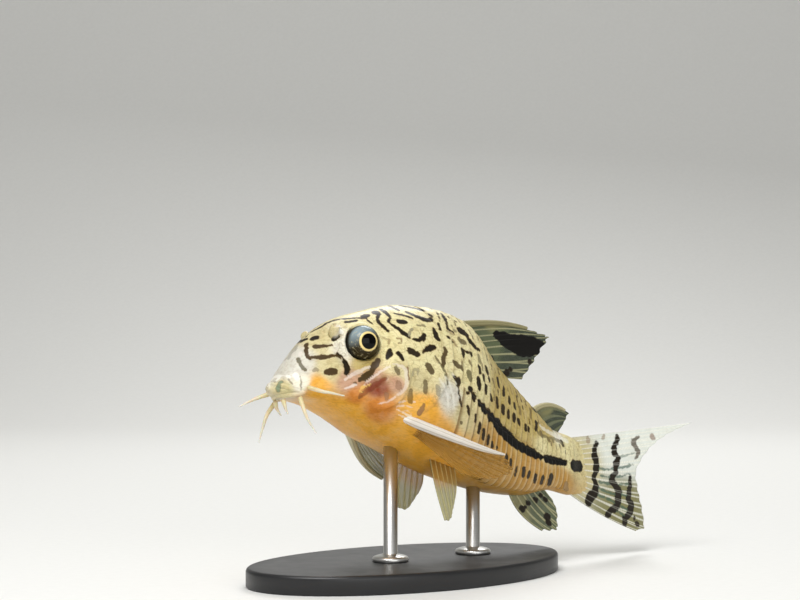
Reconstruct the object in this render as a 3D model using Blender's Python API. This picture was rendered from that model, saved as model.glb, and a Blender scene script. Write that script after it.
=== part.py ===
"""Corydoras catfish, life size, swimming on a small display stand.

The fish is first laid out straight, in millimetres: x runs from the snout back to the tail fin, y to the
fish's right and z up. pose() then bends it into its swimming pose, banks it and sets it over the stand,
in metres, with the middle of the stand's foot at the origin.
"""

import bpy
import numpy as np

MM = 0.001
GAP = 0.3  # kept between pieces that meet

# The trunk, straight: x, top, bottom, half width, height of the widest place
TRUNK_STATIONS = np.array([
    (-0.6, -5.0, -5.5, 0.3, -5.25),
    (0.0, -4.2, -5.9, 1.2, -5.1),
    (1.0, -1.9, -6.0, 2.2, -4.7),
    (3.0, 2.0, -5.7, 3.2, -4.2),
    (6.0, 5.4, -5.4, 4.4, -3.5),
    (10.0, 8.0, -5.9, 5.4, -3.0),
    (16.0, 11.0, -7.2, 6.7, -2.8),
    (25.0, 13.2, -7.8, 6.2, -2.4),
    (33.0, 10.2, -7.3, 4.4, -1.6),
    (41.0, 6.9, -6.0, 2.7, -0.6),
    (47.0, 4.2, -4.1, 1.6, 0.0),
    (50.0, 4.0, -4.2, 1.2, 0.0),
    (51.0, 3.6, -3.8, 0.7, 0.0),
])
BACK_ROUNDNESS = 2.0  # superellipse powers of the two halves of a section
BELLY_ROUNDNESS = 2.5

# Bends: degrees of heading to the fish's right and of downward slope, met on the way to the tail
HEADING_STATIONS = np.array([(0, -4.0), (14, -4.0), (25, -0.5), (36, 0.0), (50, 3.5), (80, 3.5)])
SLOPE_STATIONS = np.array([(0, 18.0), (14, 18.0), (25, 26.0), (36, 19.3), (50, 12.6), (80, 12.6)])
BANK = -11.2  # degrees, the left side rises
BALANCE_X = 25.0  # the place along the fish that is set over the stand
BALANCE_AT = np.array((4.5, 0.0, 21.0))

# Scutes: two rows a side, from behind the shoulder shield to the tail fin
SCUTE_ROWS = 23
SCUTES_FROM = np.array((23.4, 20.8, 17.8))  # x of the first front edge at the belly, the seam and the back
SCUTES_TO = np.array((48.4, 50.0, 49.8))
SCUTE_PLACES = (-60.0, 8.0, 78.0)  # section angles of belly, seam and back
SCUTE_SHRINK = 0.22  # front scutes are this share longer than the middle ones, rear ones shorter
SCUTE_LIFT = 0.28  # how far a scute's free edge stands over the next
SCUTE_DIP = 0.04  # its front edge, under the scute before it
SCUTE_ROOT = 0.7  # how deep a scute is sunk
SCUTE_OVERLAP = 0.12  # of a scute's length, over the one behind
SEAM_ANGLE = ((20.0, 20.0), (45.0, 0.0))  # x and section angle of the seam between the rows
BACK_ANGLE = ((18.0, 80.0), (48.0, 64.0))
BELLY_ANGLE = ((22.0, -38.0), (32.0, -66.0))
SEAM_GROOVE = 1.5  # degrees left free on each side of the seam

TAIL_ROOT_X = 50.4

EYE_AT = np.array((9.5, 3.85, 3.1))
EYE_RADIUS = 2.15
GILL_COVER = {"at": (12.5, -1.2), "reach": (2.8, 3.9), "tilt": 18.0, "lift": 0.35}
SHOULDER_SHIELD = {"at": (18.6, 0.6), "reach": (2.1, 4.6), "tilt": 20.0, "lift": 0.22}
NOSTRIL_AT = np.array((5.7, 2.95, 3.55))
NOSTRIL_OUT = np.array((-0.25, 0.62, 0.74))
NOSTRIL_RADII = (0.6, 0.45)  # of the raised rim, at its foot and its edge
NOSTRIL_HEIGHT = 0.7
NOSTRIL_PIT_RADII = (0.22, 0.26)
NOSTRIL_DEPTH = 0.4
LIP_CORNER = np.array((3.0, 2.5, -5.2))
LIP_RADIUS = 0.48

HEAD_CUT = (15.7, 0.22, -0.012)  # x = a + b z + c z^2, the rear edge of the head
TAIL_CUT_X = 38.2

MEMBRANE_HALF = 0.25
RAY_HALF = 0.38
MARGIN_HALF = 0.14

ROD_RADIUS = 0.9
ROD_XS = (19.2, 33.6)  # where the rods reach the belly
ROD_DEPTH = 1.8
FOOT_SIZE = (46.0, 27.0, 2.4)
FOOT_CHAMFER = 0.5
COLLAR = (2.3, 0.9)  # radius and height of the ring at a rod's foot

COLOURS = {
    "skin": ((0.72, 0.55, 0.30), 0.35, 0.0),
    "membrane": ((0.66, 0.64, 0.48), 0.4, 0.0),
    "eye": ((0.02, 0.02, 0.02), 0.1, 0.0),
    "foot": ((0.02, 0.02, 0.022), 0.35, 0.0),
    "steel": ((0.6, 0.6, 0.6), 0.25, 1.0),
}


def smooth_line(knots, at):
    """Value at each place of a monotone cubic through rows of (place, value, ...)."""
    x, y = knots[:, 0], knots[:, 1:]
    step = np.diff(x)[:, None]
    slope = np.diff(y, axis=0) / step
    tangent = np.zeros_like(y)
    tangent[0], tangent[-1] = slope[0], slope[-1]
    before, after = slope[:-1], slope[1:]
    same = before * after > 0
    w1, w2 = 2 * step[1:] + step[:-1], step[1:] + 2 * step[:-1]
    safe = np.where(same, before * after, 1.0)
    tangent[1:-1] = np.where(same, (w1 + w2) * safe / np.where(same, w1 * after + w2 * before, 1.0), 0.0)
    at = np.clip(np.asarray(at, float), x[0], x[-1])
    i = np.clip(np.searchsorted(x, at, side="right") - 1, 0, len(x) - 2)
    h = step[i]
    t = ((at - x[i]) / step[i, 0])[..., None]
    return (
        (1 + 2 * t) * (1 - t) ** 2 * y[i]
        + t * (1 - t) ** 2 * h * tangent[i]
        + t * t * (3 - 2 * t) * y[i + 1]
        + t * t * (t - 1) * h * tangent[i + 1]
    )


def through(points, t):
    """Points at shares t of the way along a smooth line through the points given."""
    points = np.asarray(points, float)
    lengths = np.linalg.norm(np.diff(points, axis=0), axis=1)
    place = np.concatenate([[0.0], np.cumsum(lengths)]) / lengths.sum()
    return smooth_line(np.column_stack([place, points]), t)


def between(pair, x):
    """Straight-line value between two (x, value) pairs, held outside them."""
    (x0, v0), (x1, v1) = pair
    return v0 + (v1 - v0) * np.clip((x - x0) / (x1 - x0), 0, 1)


def trunk(x, angle):
    """Points on the smooth trunk at places x and section angles: 0 at the right side, 90 at the back."""
    x, angle = np.broadcast_arrays(np.asarray(x, float), np.radians(angle))
    top, bottom, half, widest = np.moveaxis(smooth_line(TRUNK_STATIONS, x), -1, 0)
    c, s = np.cos(angle), np.sin(angle)
    power = 2 / np.where(s >= 0, BACK_ROUNDNESS, BELLY_ROUNDNESS)
    reach = np.where(s >= 0, top - widest, widest - bottom)
    y = half * np.sign(c) * np.abs(c) ** power
    z = widest + reach * np.sign(s) * np.abs(s) ** power
    return np.stack([x, y, z], -1)


def trunk_normal(x, angle):
    """Unit normals of the trunk, out of the body, from small steps along and round it."""
    along = trunk(x + 0.05, angle) - trunk(x - 0.05, angle)
    round_it = trunk(x, angle + 0.5) - trunk(x, angle - 0.5)
    normal = np.cross(round_it, along)
    normal /= np.maximum(np.linalg.norm(normal, axis=-1, keepdims=True), 1e-9)
    return normal


def lifted(x, angle, lift):
    """Points that stand off the trunk by lift."""
    return trunk(x, angle) + trunk_normal(x, angle) * np.asarray(lift)[..., None]


def angle_of(x, z):
    """Section angle on the right side where the trunk has this height."""
    top, bottom, _, widest = np.moveaxis(smooth_line(TRUNK_STATIONS, x), -1, 0)
    up = z >= widest
    share = np.where(up, (z - widest) / (top - widest), (widest - z) / (widest - bottom))
    power = np.where(up, BACK_ROUNDNESS, BELLY_ROUNDNESS) / 2
    return np.degrees(np.arcsin(np.clip(share, 0, 0.9999) ** power)) * np.where(up, 1, -1)


def side_of(x, z):
    """Half width of the trunk at this place and height."""
    return trunk(x, angle_of(x, z))[..., 1]


def spine_line():
    """Places along the fish, the posed points of its axis in millimetres, and heading and slope there."""
    x = np.linspace(-6, 80, 431)
    heading = np.radians(smooth_line(HEADING_STATIONS, x)[:, 0])
    slope = np.radians(smooth_line(SLOPE_STATIONS, x)[:, 0])
    way = np.stack([np.cos(slope) * np.cos(heading), np.cos(slope) * np.sin(heading), -np.sin(slope)], 1)
    axis = np.zeros_like(way)
    axis[1:] = np.cumsum((way[1:] + way[:-1]) / 2 * np.diff(x)[:, None], axis=0)
    start = [np.interp(BALANCE_X, x, axis[:, k]) for k in range(3)]
    return x, axis - start + BALANCE_AT, heading, slope


def pose(points):
    """Bends and banks straight points into the swimming pose, in metres."""
    points = np.asarray(points, float)
    x, axis, heading, slope = spine_line()
    at = points[:, 0]
    centre = np.stack([np.interp(at, x, axis[:, k]) for k in range(3)], 1)
    h, p = np.interp(at, x, heading), np.interp(at, x, slope)
    way = np.stack([np.cos(p) * np.cos(h), np.cos(p) * np.sin(h), -np.sin(p)], 1)
    right = np.stack([-np.sin(h), np.cos(h), np.zeros_like(h)], 1)
    up = np.cross(way, right)
    bank = np.radians(BANK)
    right, up = right * np.cos(bank) + up * np.sin(bank), up * np.cos(bank) - right * np.sin(bank)
    return (centre + points[:, 1:2] * right + points[:, 2:3] * up) * MM


def mirrored(points):
    """The same points on the left side."""
    return np.asarray(points, float) * np.array((1.0, -1.0, 1.0))


def mesh_object(name, points, faces):
    """A new object from points and faces, with its faces turned outwards."""
    mesh = bpy.data.meshes.new(name)
    mesh.from_pydata([tuple(p) for p in np.asarray(points, float)], [], faces)
    obj = bpy.data.objects.new(name, mesh)
    bpy.context.scene.collection.objects.link(obj)
    if signed_volume(mesh) < 0:
        mesh.flip_normals()
    return obj


def signed_volume(mesh):
    """Volume inside the mesh, negative where its faces point inwards."""
    mesh.calc_loop_triangles()
    total = 0.0
    for triangle in mesh.loop_triangles:
        a, b, c = (mesh.vertices[i].co for i in triangle.vertices)
        total += a.dot(b.cross(c))
    return total


def grid_faces(rows, columns, closed=True, first=0):
    """Triangles of a grid of rows of points, each row a ring if closed."""
    faces = []
    for r in range(rows - 1):
        for c in range(columns if closed else columns - 1):
            n = (c + 1) % columns
            a, b = first + r * columns + c, first + r * columns + n
            d, e = a + columns, b + columns
            faces += [(a, b, e), (a, e, d)]
    return faces


def lofted(name, rings, start=None, end=None):
    """A closed solid through rings of points, ending in points or in flat caps."""
    rings = np.asarray(rings, float)
    rows, columns, _ = rings.shape
    points = [tuple(p) for p in rings.reshape(-1, 3)]
    faces = grid_faces(rows, columns)
    ends = ((start, 0, True), (end, (rows - 1) * columns, False))
    for pole, first, turned in ends:
        pole = rings[0 if turned else -1].mean(axis=0) if pole is None else pole
        points.append(tuple(pole))
        tip = len(points) - 1
        for c in range(columns):
            a, b = first + c, first + (c + 1) % columns
            faces.append((tip, b, a) if turned else (tip, a, b))
    return mesh_object(name, points, faces)


def slab(name, front, back):
    """A closed solid between two like grids of points, triangulated alike on both faces."""
    rows, columns, _ = front.shape
    count = rows * columns
    points = np.concatenate([front.reshape(-1, 3), back.reshape(-1, 3)])
    faces = []
    for r in range(rows - 1):
        for c in range(columns - 1):
            a, b = r * columns + c, r * columns + c + 1
            d, e = a + columns, b + columns
            pair = [(a, b, e), (a, e, d)] if (r + c) % 2 else [(a, b, d), (b, e, d)]
            faces += pair
            faces += [tuple(count + i for i in reversed(face)) for face in pair]
    rim = [r * columns for r in range(rows)]
    rim += [(rows - 1) * columns + c for c in range(1, columns)]
    rim += [r * columns + columns - 1 for r in range(rows - 2, -1, -1)]
    rim += list(range(columns - 2, 0, -1))
    for a, b in zip(rim, rim[1:] + rim[:1]):
        faces += [(a, b, count + b), (a, count + b, count + a)]
    return mesh_object(name, points, faces)


def tube(name, points, radii, sides=8, samples=9):
    """A tapered tube along a smooth line through the points, with flat ends."""
    t = np.linspace(0, 1, samples)
    line = through(points, t)
    way = np.gradient(line, axis=0)
    way /= np.linalg.norm(way, axis=1, keepdims=True)
    aside = np.cross(way, (0.12, 0.2, 1.0))
    aside /= np.linalg.norm(aside, axis=1, keepdims=True)
    other = np.cross(way, aside)
    radius = through([(r, 0, 0) for r in radii], t)[:, 0] if len(radii) > 2 else np.interp(t, (0, 1), radii)
    turn = np.linspace(0, 2 * np.pi, sides, endpoint=False)
    rings = line[:, None] + radius[:, None, None] * (
        np.cos(turn)[None, :, None] * aside[:, None] + np.sin(turn)[None, :, None] * other[:, None]
    )
    return lofted(name, rings)


def ball(name, centre, radius, sides=18, rings=11):
    """A round solid from rings between two poles."""
    lat = np.linspace(-np.pi / 2, np.pi / 2, rings + 2)[1:-1]
    turn = np.linspace(0, 2 * np.pi, sides, endpoint=False)
    grid = np.stack([
        np.cos(lat)[:, None] * np.cos(turn),
        np.cos(lat)[:, None] * np.sin(turn),
        np.broadcast_to(np.sin(lat)[:, None], (rings, sides)),
    ], -1)
    centre = np.asarray(centre, float)
    pole = np.array((0, 0, radius))
    return lofted(name, centre + grid * radius, centre - pole, centre + pole)


def remove(obj):
    """Deletes an object and its mesh."""
    mesh = obj.data
    bpy.data.objects.remove(obj)
    bpy.data.meshes.remove(mesh)


def baked(obj):
    """Applies the object's modifiers to its mesh."""
    graph = bpy.context.evaluated_depsgraph_get()
    made = bpy.data.meshes.new_from_object(obj.evaluated_get(graph))
    obj.modifiers.clear()
    old, obj.data = obj.data, made
    bpy.data.meshes.remove(old)
    return obj


def fused(obj, pieces):
    """Joins closed pieces to an object in one Boolean union, and removes them."""
    group = bpy.data.collections.new("pieces")
    bpy.context.scene.collection.children.link(group)
    for piece in pieces:
        group.objects.link(piece)
    union = obj.modifiers.new("union", "BOOLEAN")
    union.operation = "UNION"
    union.operand_type = "COLLECTION"
    union.collection = group
    union.solver = "MANIFOLD"
    baked(obj)
    for piece in pieces:
        remove(piece)
    bpy.data.collections.remove(group)
    return obj


def carved(obj, cutters, keep_cutters=False):
    """Cuts each cutter out of an object."""
    for cutter in cutters:
        cut = obj.modifiers.new("cut", "BOOLEAN")
        cut.operation = "DIFFERENCE"
        cut.object = cutter
        cut.solver = "MANIFOLD"
        baked(obj)
        if not keep_cutters:
            remove(cutter)
    return obj


def islands(obj):
    """Points and faces of each closed surface in a mesh, the largest first."""
    mesh = obj.data
    owner = list(range(len(mesh.vertices)))

    def root(i):
        while owner[i] != i:
            owner[i] = owner[owner[i]]
            i = owner[i]
        return i

    for edge in mesh.edges:
        a, b = root(edge.vertices[0]), root(edge.vertices[1])
        owner[a] = b
    groups = {}
    for face in mesh.polygons:
        groups.setdefault(root(face.vertices[0]), []).append(tuple(face.vertices))
    found = []
    for faces in groups.values():
        used = sorted({i for face in faces for i in face})
        index = {old: new for new, old in enumerate(used)}
        points = np.array([mesh.vertices[i].co for i in used])
        found.append((points, [tuple(index[i] for i in face) for face in faces]))
    return sorted(found, key=lambda item: -len(item[1]))


def finished(obj, name, material):
    """Poses a straight piece, keeps its largest closed surface and gives it its name and material."""
    points, faces = islands(obj)[0]
    remove(obj)
    return placed(name, pose(points), faces, material)


def placed(name, points, faces, material):
    """A node at its real place, in metres, shaded smooth between its sharper edges."""
    node = mesh_object(name, points, faces)
    dressed(node, material)
    return node


def dressed(node, material):
    """Gives a node its material and smooth shading."""
    node.data.materials.append(bpy.data.materials[material])
    node.data.shade_smooth()
    node.data.set_sharp_from_angle(angle=np.radians(35))


def make_materials():
    """One plain material for each finish."""
    for name, (colour, roughness, metallic) in COLOURS.items():
        material = bpy.data.materials.new(name)
        material.use_nodes = True
        shader = material.node_tree.nodes["Principled BSDF"]
        shader.inputs["Base Color"].default_value = (*colour, 1.0)
        shader.inputs["Roughness"].default_value = roughness
        shader.inputs["Metallic"].default_value = metallic


def trunk_solid(name, lift=0.0, sides=32):
    """The whole trunk as one closed solid, or one that stands off it by lift."""
    snout, head, rear = np.arange(-0.45, 3.0, 0.6), np.arange(3.2, 16.0, 1.0), np.arange(16.5, 50.0, 2.6)
    x = np.concatenate([snout, head, rear, [50.0, 51.0]])
    angle = np.linspace(0, 360, sides, endpoint=False) + 360 / sides / 2
    grid_x, grid_angle = np.meshgrid(x, angle, indexing="ij")
    rings = lifted(grid_x, grid_angle, np.full(grid_x.shape, lift))
    orbit = np.linalg.norm(rings * (1, 0, 1) - EYE_AT * (1, 0, 1), axis=-1)
    rim = 0.32 * np.exp(-(((orbit - EYE_RADIUS - 0.35) / 0.55) ** 2))
    rings = rings + trunk_normal(grid_x, grid_angle) * rim[..., None]
    start = (x[0] - 0.3 - lift, 0, trunk(x[0], 0.0)[2])
    end = (51.2 + lift, 0, -0.1)
    return lofted(name, rings, start, end)


def scute(side, low, high, front, rear, segments=4):
    """One bony scute: its front edge is sunk under the scute before it and its rear edge stands free.

    low and high are the section angles of its ends, front and rear give x at those angles.
    """
    angle = np.linspace(low, high, segments + 1)
    edges = np.stack([np.interp(angle, (low, high), front), np.interp(angle, (low, high), rear)])
    bulge = 0.12 * np.sin(np.linspace(0, np.pi, segments + 1))
    edges[1] += bulge
    angles = np.broadcast_to(angle, edges.shape)
    lift = np.array([SCUTE_DIP, SCUTE_LIFT])[:, None] * np.ones(segments + 1)
    top = lifted(edges, angles, lift)
    under = lifted(edges, angles, np.full(edges.shape, -SCUTE_ROOT))
    if side == "left":
        top, under = mirrored(top), mirrored(under)
    return slab("scute", top, under)


def scute_edge(number, angle):
    """x of the front edge of a scute, at a section angle."""
    share = number / SCUTE_ROWS
    share += SCUTE_SHRINK * share * (1 - share)
    return np.interp(angle, SCUTE_PLACES, SCUTES_FROM + (SCUTES_TO - SCUTES_FROM) * share)


def scutes():
    """Both rows on both sides."""
    made = []
    chance = np.random.default_rng(5)
    for number in range(SCUTE_ROWS):
        x = scute_edge(number, SCUTE_PLACES[1])
        seam = between(SEAM_ANGLE, x)
        rows = [(seam + SEAM_GROOVE, between(BACK_ANGLE, x))]
        if number > 0:
            rows.append((seam - SEAM_GROOVE, between(BELLY_ANGLE, x)))
        for side in ("left", "right"):
            for low, high in rows:
                jitter = chance.uniform(-0.05, 0.05)
                front = [scute_edge(number, a) + jitter for a in (low, high)]
                behind = [scute_edge(number + 1, a) + jitter for a in (low, high)]
                rear = [b + (b - f) * SCUTE_OVERLAP for f, b in zip(front, behind)]
                rear = [min(r, TAIL_ROOT_X) for r in rear]
                made.append(scute(side, low, high, front, rear))
    return made


def shield(side, at, reach, tilt, lift, spokes=18):
    """A rounded bony plate that lies on the trunk, raised at its rear edge."""
    turn = np.linspace(0, 2 * np.pi, spokes, endpoint=False)
    t = np.radians(tilt)
    rings = []
    for share in (1.0, 0.94, 0.5):
        u, w = reach[0] * share * np.cos(turn), reach[1] * share * np.sin(turn)
        x, z = at[0] + u * np.cos(t) + w * np.sin(t), at[1] - u * np.sin(t) + w * np.cos(t)
        rear = 0.5 + 0.5 * np.cos(turn)
        height = -SCUTE_ROOT if share == 1.0 else lift * (0.35 + 0.65 * rear) * (1.0 if share > 0.9 else 0.8)
        rings.append(lifted(x, angle_of(x, z), np.broadcast_to(height, x.shape)))
    middle = lifted(np.array([at[0]]), angle_of(np.array([at[0]]), at[1]), np.array([lift * 0.75]))[0]
    under = lifted(np.array([at[0]]), angle_of(np.array([at[0]]), at[1]), np.array([-SCUTE_ROOT - 0.4]))[0]
    rings = np.array(rings)
    if side == "left":
        rings, middle, under = mirrored(rings), mirrored(middle), mirrored(under)
    return lofted("shield", rings, under, middle)


def lips():
    """Upper and lower lip, each a soft roll from one corner of the mouth to the other."""
    corner = LIP_CORNER
    upper = [mirrored(corner), (0.9, -1.8, -4.95), (0.0, 0.0, -4.85), (0.9, 1.8, -4.95), corner]
    lower = [mirrored(corner), (1.7, -1.6, -5.65), (0.9, 0.0, -5.75), (1.7, 1.6, -5.65), corner]
    made = []
    for points in (upper, lower):
        made.append(tube("lip", points, (LIP_RADIUS * 0.8, LIP_RADIUS, LIP_RADIUS * 0.8), 10, 15))
    return made


def sides(points):
    """The points on the right side, and the same on the left."""
    return {"right": np.asarray(points, float), "left": mirrored(points)}


def along_nostrils(name, start, end, radii):
    """A round solid along each nostril's own direction, from start to end off its place."""
    made = []
    for side, at in sides(NOSTRIL_AT).items():
        out = NOSTRIL_OUT if side == "right" else mirrored(NOSTRIL_OUT)
        made.append(tube(name, [at + out * start, at + out * end], radii, 10, 3))
    return made


def head_cutter():
    """A thin curved wall along the rear edge of the head."""
    z = np.linspace(-12, 18, 13)
    a, b, c = HEAD_CUT
    x = a + b * z + c * z * z
    wall = np.stack([np.stack([x, np.full_like(z, y), z], -1) for y in (-12.0, 12.0)])
    shift = np.array((GAP / 2, 0, 0))
    return slab("head_cut", wall - shift, wall + shift)


def tail_cutter():
    """A thin flat wall across the trunk in front of the anal fin."""
    corners = [[(TAIL_CUT_X, y, z) for z in (-14.0, 16.0)] for y in (-12.0, 12.0)]
    wall = np.array(corners)
    shift = np.array((GAP / 2, 0, 0))
    return slab("tail_cut", wall - shift, wall + shift)


def body_nodes():
    """Head, torso and tail: the trunk with its plates and lips, parted by thin cuts."""
    whole = trunk_solid("whole")
    plates = scutes()
    for side in ("left", "right"):
        plates.append(shield(side, **GILL_COVER))
        plates.append(shield(side, **SHOULDER_SHIELD))
    rims = along_nostrils("rim", -NOSTRIL_DEPTH * 2, NOSTRIL_HEIGHT, NOSTRIL_RADII)
    fused(whole, plates + lips() + rims)
    sockets = [ball("socket", at, EYE_RADIUS + GAP) for at in sides(EYE_AT).values()]
    pits = along_nostrils("pit", -NOSTRIL_DEPTH, NOSTRIL_HEIGHT * 2, NOSTRIL_PIT_RADII)
    carved(whole, sockets + pits + [head_cutter(), tail_cutter()])
    parts = islands(whole)[:3]
    remove(whole)
    parts.sort(key=lambda item: item[0][:, 0].mean())
    nodes = {}
    for name, (points, faces) in zip(("head", "torso", "tail"), parts):
        nodes[name] = placed(name, pose(points), faces, "skin")
    return nodes


def fan(name, root, margin, rays, bow=(0, 0, 0), trail=(0, 0, 0), curl=1.6, rows=6, spine=None, notch=0.04):
    """A fin of rays spread from a root line to a margin line, as one closed thin solid.

    Odd columns are membrane and even ones rays, which stand up as ridges on both faces. bow and trail push
    the middle of the first and the last rays aside, and curl delays a ray's sideways bend. spine gives the
    radii, at the root and the tip, of a round spine along the first ray.
    """
    columns = 2 * rays - 1
    across = np.linspace(0, 1, columns)
    foot, tip = through(root, across), through(margin, across)
    web = np.arange(columns) % 2 == 1
    tip = np.where(web[:, None], foot + (tip - foot) * (1 - notch), tip)
    out = np.linspace(0, 1, rows)[:, None, None]
    way = tip - foot
    sheet = foot[None] + way[None] * out
    sheet[..., 1] = foot[None, :, 1] + way[None, :, 1] * out[..., 0] ** curl
    arch = 4 * out * (1 - out)
    first, last = (1 - across)[None, :, None] ** 1.5, across[None, :, None] ** 1.5
    sheet = sheet + arch * (first * np.array(bow, float) + last * np.array(trail, float))
    normal = np.cross(np.gradient(sheet, axis=1), np.gradient(sheet, axis=0))
    normal /= np.linalg.norm(normal, axis=-1, keepdims=True)
    ridge = np.where(web, MEMBRANE_HALF, RAY_HALF)[None]
    thin = np.clip((out[..., 0] - 0.6) / 0.4, 0, 1) ** 1.5
    half = (ridge * (1 - thin) + MARGIN_HALF * thin)[..., None]
    fin = slab(name, sheet + normal * half, sheet - normal * half)
    if spine:
        fused(fin, [tube("spine", sheet[:, 0], spine, 8, 7)])
    return fin


def back_at(x, depth=1.2):
    """A point in the middle of the back, sunk by depth."""
    return (x, 0.0, float(trunk(x, 90.0)[2]) - depth)


def under_at(x, depth=1.2):
    """A point in the middle of the underside, sunk by depth."""
    return (x, 0.0, float(trunk(x, -90.0)[2]) + depth)


def middle_fins():
    """The four fins in the fish's middle plane."""
    return {
        "fin_dorsal": fan(
            "dorsal",
            root=[back_at(x) for x in (24.0, 29.0, 34.0)],
            margin=[(38.4, -1.4, 16.5), (42.8, -2.4, 16.1), (41.0, -1.8, 13.0), (39.4, -0.6, 9.6)],
            rays=9, bow=(-0.3, 0, 1.0), spine=(0.6, 0.25),
        ),
        "fin_adipose": fan(
            "adipose",
            root=[back_at(x, 0.7) for x in (42.2, 47.6)],
            margin=[(49.3, -0.9, 6.9), (48.6, -0.4, 5.2)],
            rays=3, bow=(-0.2, 0, 1.2), rows=5, spine=(0.5, 0.2),
        ),
        "fin_caudal": fan(
            "caudal",
            root=[(50.3, 0.0, 3.8), (50.7, 0.0, 0.0), (50.3, 0.0, -3.9)],
            margin=[(69.3, -6.0, 8.5), (65.6, -4.5, 6.3), (63.2, -3.1, 3.8), (62.1, -2.0, 1.0), (63.4, -1.1, -1.2),
                    (65.6, -0.1, -4.2), (66.3, 0.2, -6.2), (64.4, 0.2, -7.0)],
            rays=14, trail=(0, 0, -0.45), curl=1.8, rows=8, notch=0.015,
        ),
        "fin_anal": fan(
            "anal",
            root=[under_at(x, 1.0) for x in (39.2, 42.0, 44.6)],
            margin=[(45.4, 0.0, -9.9), (48.3, 0.0, -9.1), (48.2, 0.0, -7.0), (47.2, 0.0, -5.3)],
            rays=7, bow=(-0.9, 0, -0.5),
        ),
    }


def paired_fins():
    """The pectoral and pelvic fins. The right ones are spread a little less than the left."""
    left = np.array((1.0, -1.0, 1.0))
    return {
        "fin_pectoral_left": fan(
            "pectoral",
            root=[(14.8, 4.9, -4.7) * left, (16.2, 4.7, -5.4) * left, (17.6, 4.5, -6.0) * left],
            margin=[(29.4, 10.0, -5.5) * left, (32.2, 8.8, -6.5) * left, (30.4, 7.6, -8.2) * left,
                    (26.0, 6.9, -9.3) * left],
            rays=9, bow=(0.2, -0.8, -0.4), curl=1.0, spine=(0.65, 0.25),
        ),
        "fin_pectoral_right": fan(
            "pectoral",
            root=[(15.0, 4.9, -5.0), (16.2, 4.7, -5.4), (17.4, 4.5, -5.8)],
            margin=[(26.9, 10.0, -7.3), (28.9, 9.6, -7.2), (28.6, 9.0, -6.4), (26.6, 8.2, -5.6)],
            rays=9, bow=(-0.2, 0.8, -0.7), curl=1.0, spine=(0.65, 0.25),
        ),
        "fin_pelvic_left": fan(
            "pelvic",
            root=[(23.6, 2.4, -6.4) * left, (25.3, 2.8, -6.3) * left, (27.0, 3.0, -6.0) * left],
            margin=[(27.2, 3.9, -14.5) * left, (28.3, 4.0, -14.3) * left, (28.2, 3.8, -11.6) * left],
            rays=6, bow=(-0.4, -0.2, 0.0), curl=1.0,
        ),
        "fin_pelvic_right": fan(
            "pelvic",
            root=[(23.6, 2.4, -6.4), (25.4, 2.8, -6.2), (27.4, 3.0, -5.9)],
            margin=[(25.0, 3.8, -12.7), (27.1, 4.0, -12.4), (28.6, 4.0, -9.4)],
            rays=6, bow=(-0.7, 0.2, 0.0), curl=1.0,
        ),
    }


def barbels():
    """Two long barbels at each corner of the mouth and two short ones under the lip."""
    lines = {
        "barbel_upper_right": [(1.5, 2.9, -5.0), (0.3, 3.7, -5.8), (-1.4, 4.5, -7.2)],
        "barbel_lower_right": [(2.3, 2.6, -6.1), (2.0, 3.4, -7.6), (2.2, 4.5, -10.8)],
        "barbel_upper_left": [(3.1, -3.5, -4.7), (4.4, -5.5, -5.2), (6.4, -6.4, -5.2)],
        "barbel_lower_left": [(2.7, -2.6, -6.1), (3.4, -3.6, -8.4), (4.7, -4.2, -10.1)],
        "barbel_chin_right": [(1.3, 0.75, -6.5), (1.7, 0.85, -7.1), (2.5, 0.9, -7.8)],
        "barbel_chin_left": [(1.5, -0.8, -6.5), (1.8, -0.9, -7.2), (2.3, -0.95, -7.9)],
    }
    made = {}
    for name, points in lines.items():
        short = "chin" in name
        made[name] = tube(name, points, (0.38, 0.26, 0.1) if short else (0.5, 0.32, 0.12), 8, 5 if short else 8)
    return made


def stand(torso):
    """A flat oval foot and two upright rods, let into small sockets in the belly."""
    length, width, height = FOOT_SIZE
    turn = np.linspace(0, 2 * np.pi, 56, endpoint=False)
    oval = np.stack([np.cos(turn), np.sin(turn)], -1)
    rings = []
    for inset, z in ((0, 0), (0, height - FOOT_CHAMFER), (FOOT_CHAMFER, height)):
        reach = np.array((length / 2 - inset, width / 2 - inset))
        rings.append(np.column_stack([oval * reach, np.full(len(turn), z)]))
    foot = lofted("stand_foot", np.array(rings) * MM)
    dressed(foot, "foot")
    for number, x in enumerate(ROD_XS):
        at = pose([under_at(x, 0.0)])[0] / MM
        top = at[2] + ROD_DEPTH
        start = height + GAP
        levels = [
            (start, COLLAR[0]), (start + COLLAR[1], COLLAR[0] * 0.85),
            (start + COLLAR[1], ROD_RADIUS), (top, ROD_RADIUS),
        ]
        turn = np.linspace(0, 2 * np.pi, 20, endpoint=False)
        circle = np.stack([np.cos(turn), np.sin(turn)], -1)
        rings = [np.column_stack([at[:2] + circle * r, np.full(len(turn), z)]) for z, r in levels]
        rod = lofted(f"stand_rod_{'front' if number == 0 else 'rear'}", np.array(rings) * MM)
        dressed(rod, "steel")
        hole = [np.column_stack([at[:2] + circle * (ROD_RADIUS + GAP), np.full(len(turn), z)])
                for z in (at[2] - 4.0, top + GAP)]
        carved(torso, [lofted("socket", np.array(hole) * MM)])


def main():
    """Builds every node of the model."""
    for obj in list(bpy.data.objects):
        bpy.data.objects.remove(obj)
    make_materials()
    body = body_nodes()
    clearance = trunk_solid("clearance", lift=GAP)
    for name, fin in (middle_fins() | paired_fins()).items():
        carved(fin, [clearance], keep_cutters=True)
        finished(fin, name, "membrane")
    remove(clearance)
    for name, barbel in barbels().items():
        finished(barbel, name, "membrane")
    for side, at in sides(EYE_AT).items():
        finished(ball("eye", at, EYE_RADIUS), f"eye_{side}", "eye")
    stand(body["torso"])


main()
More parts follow.
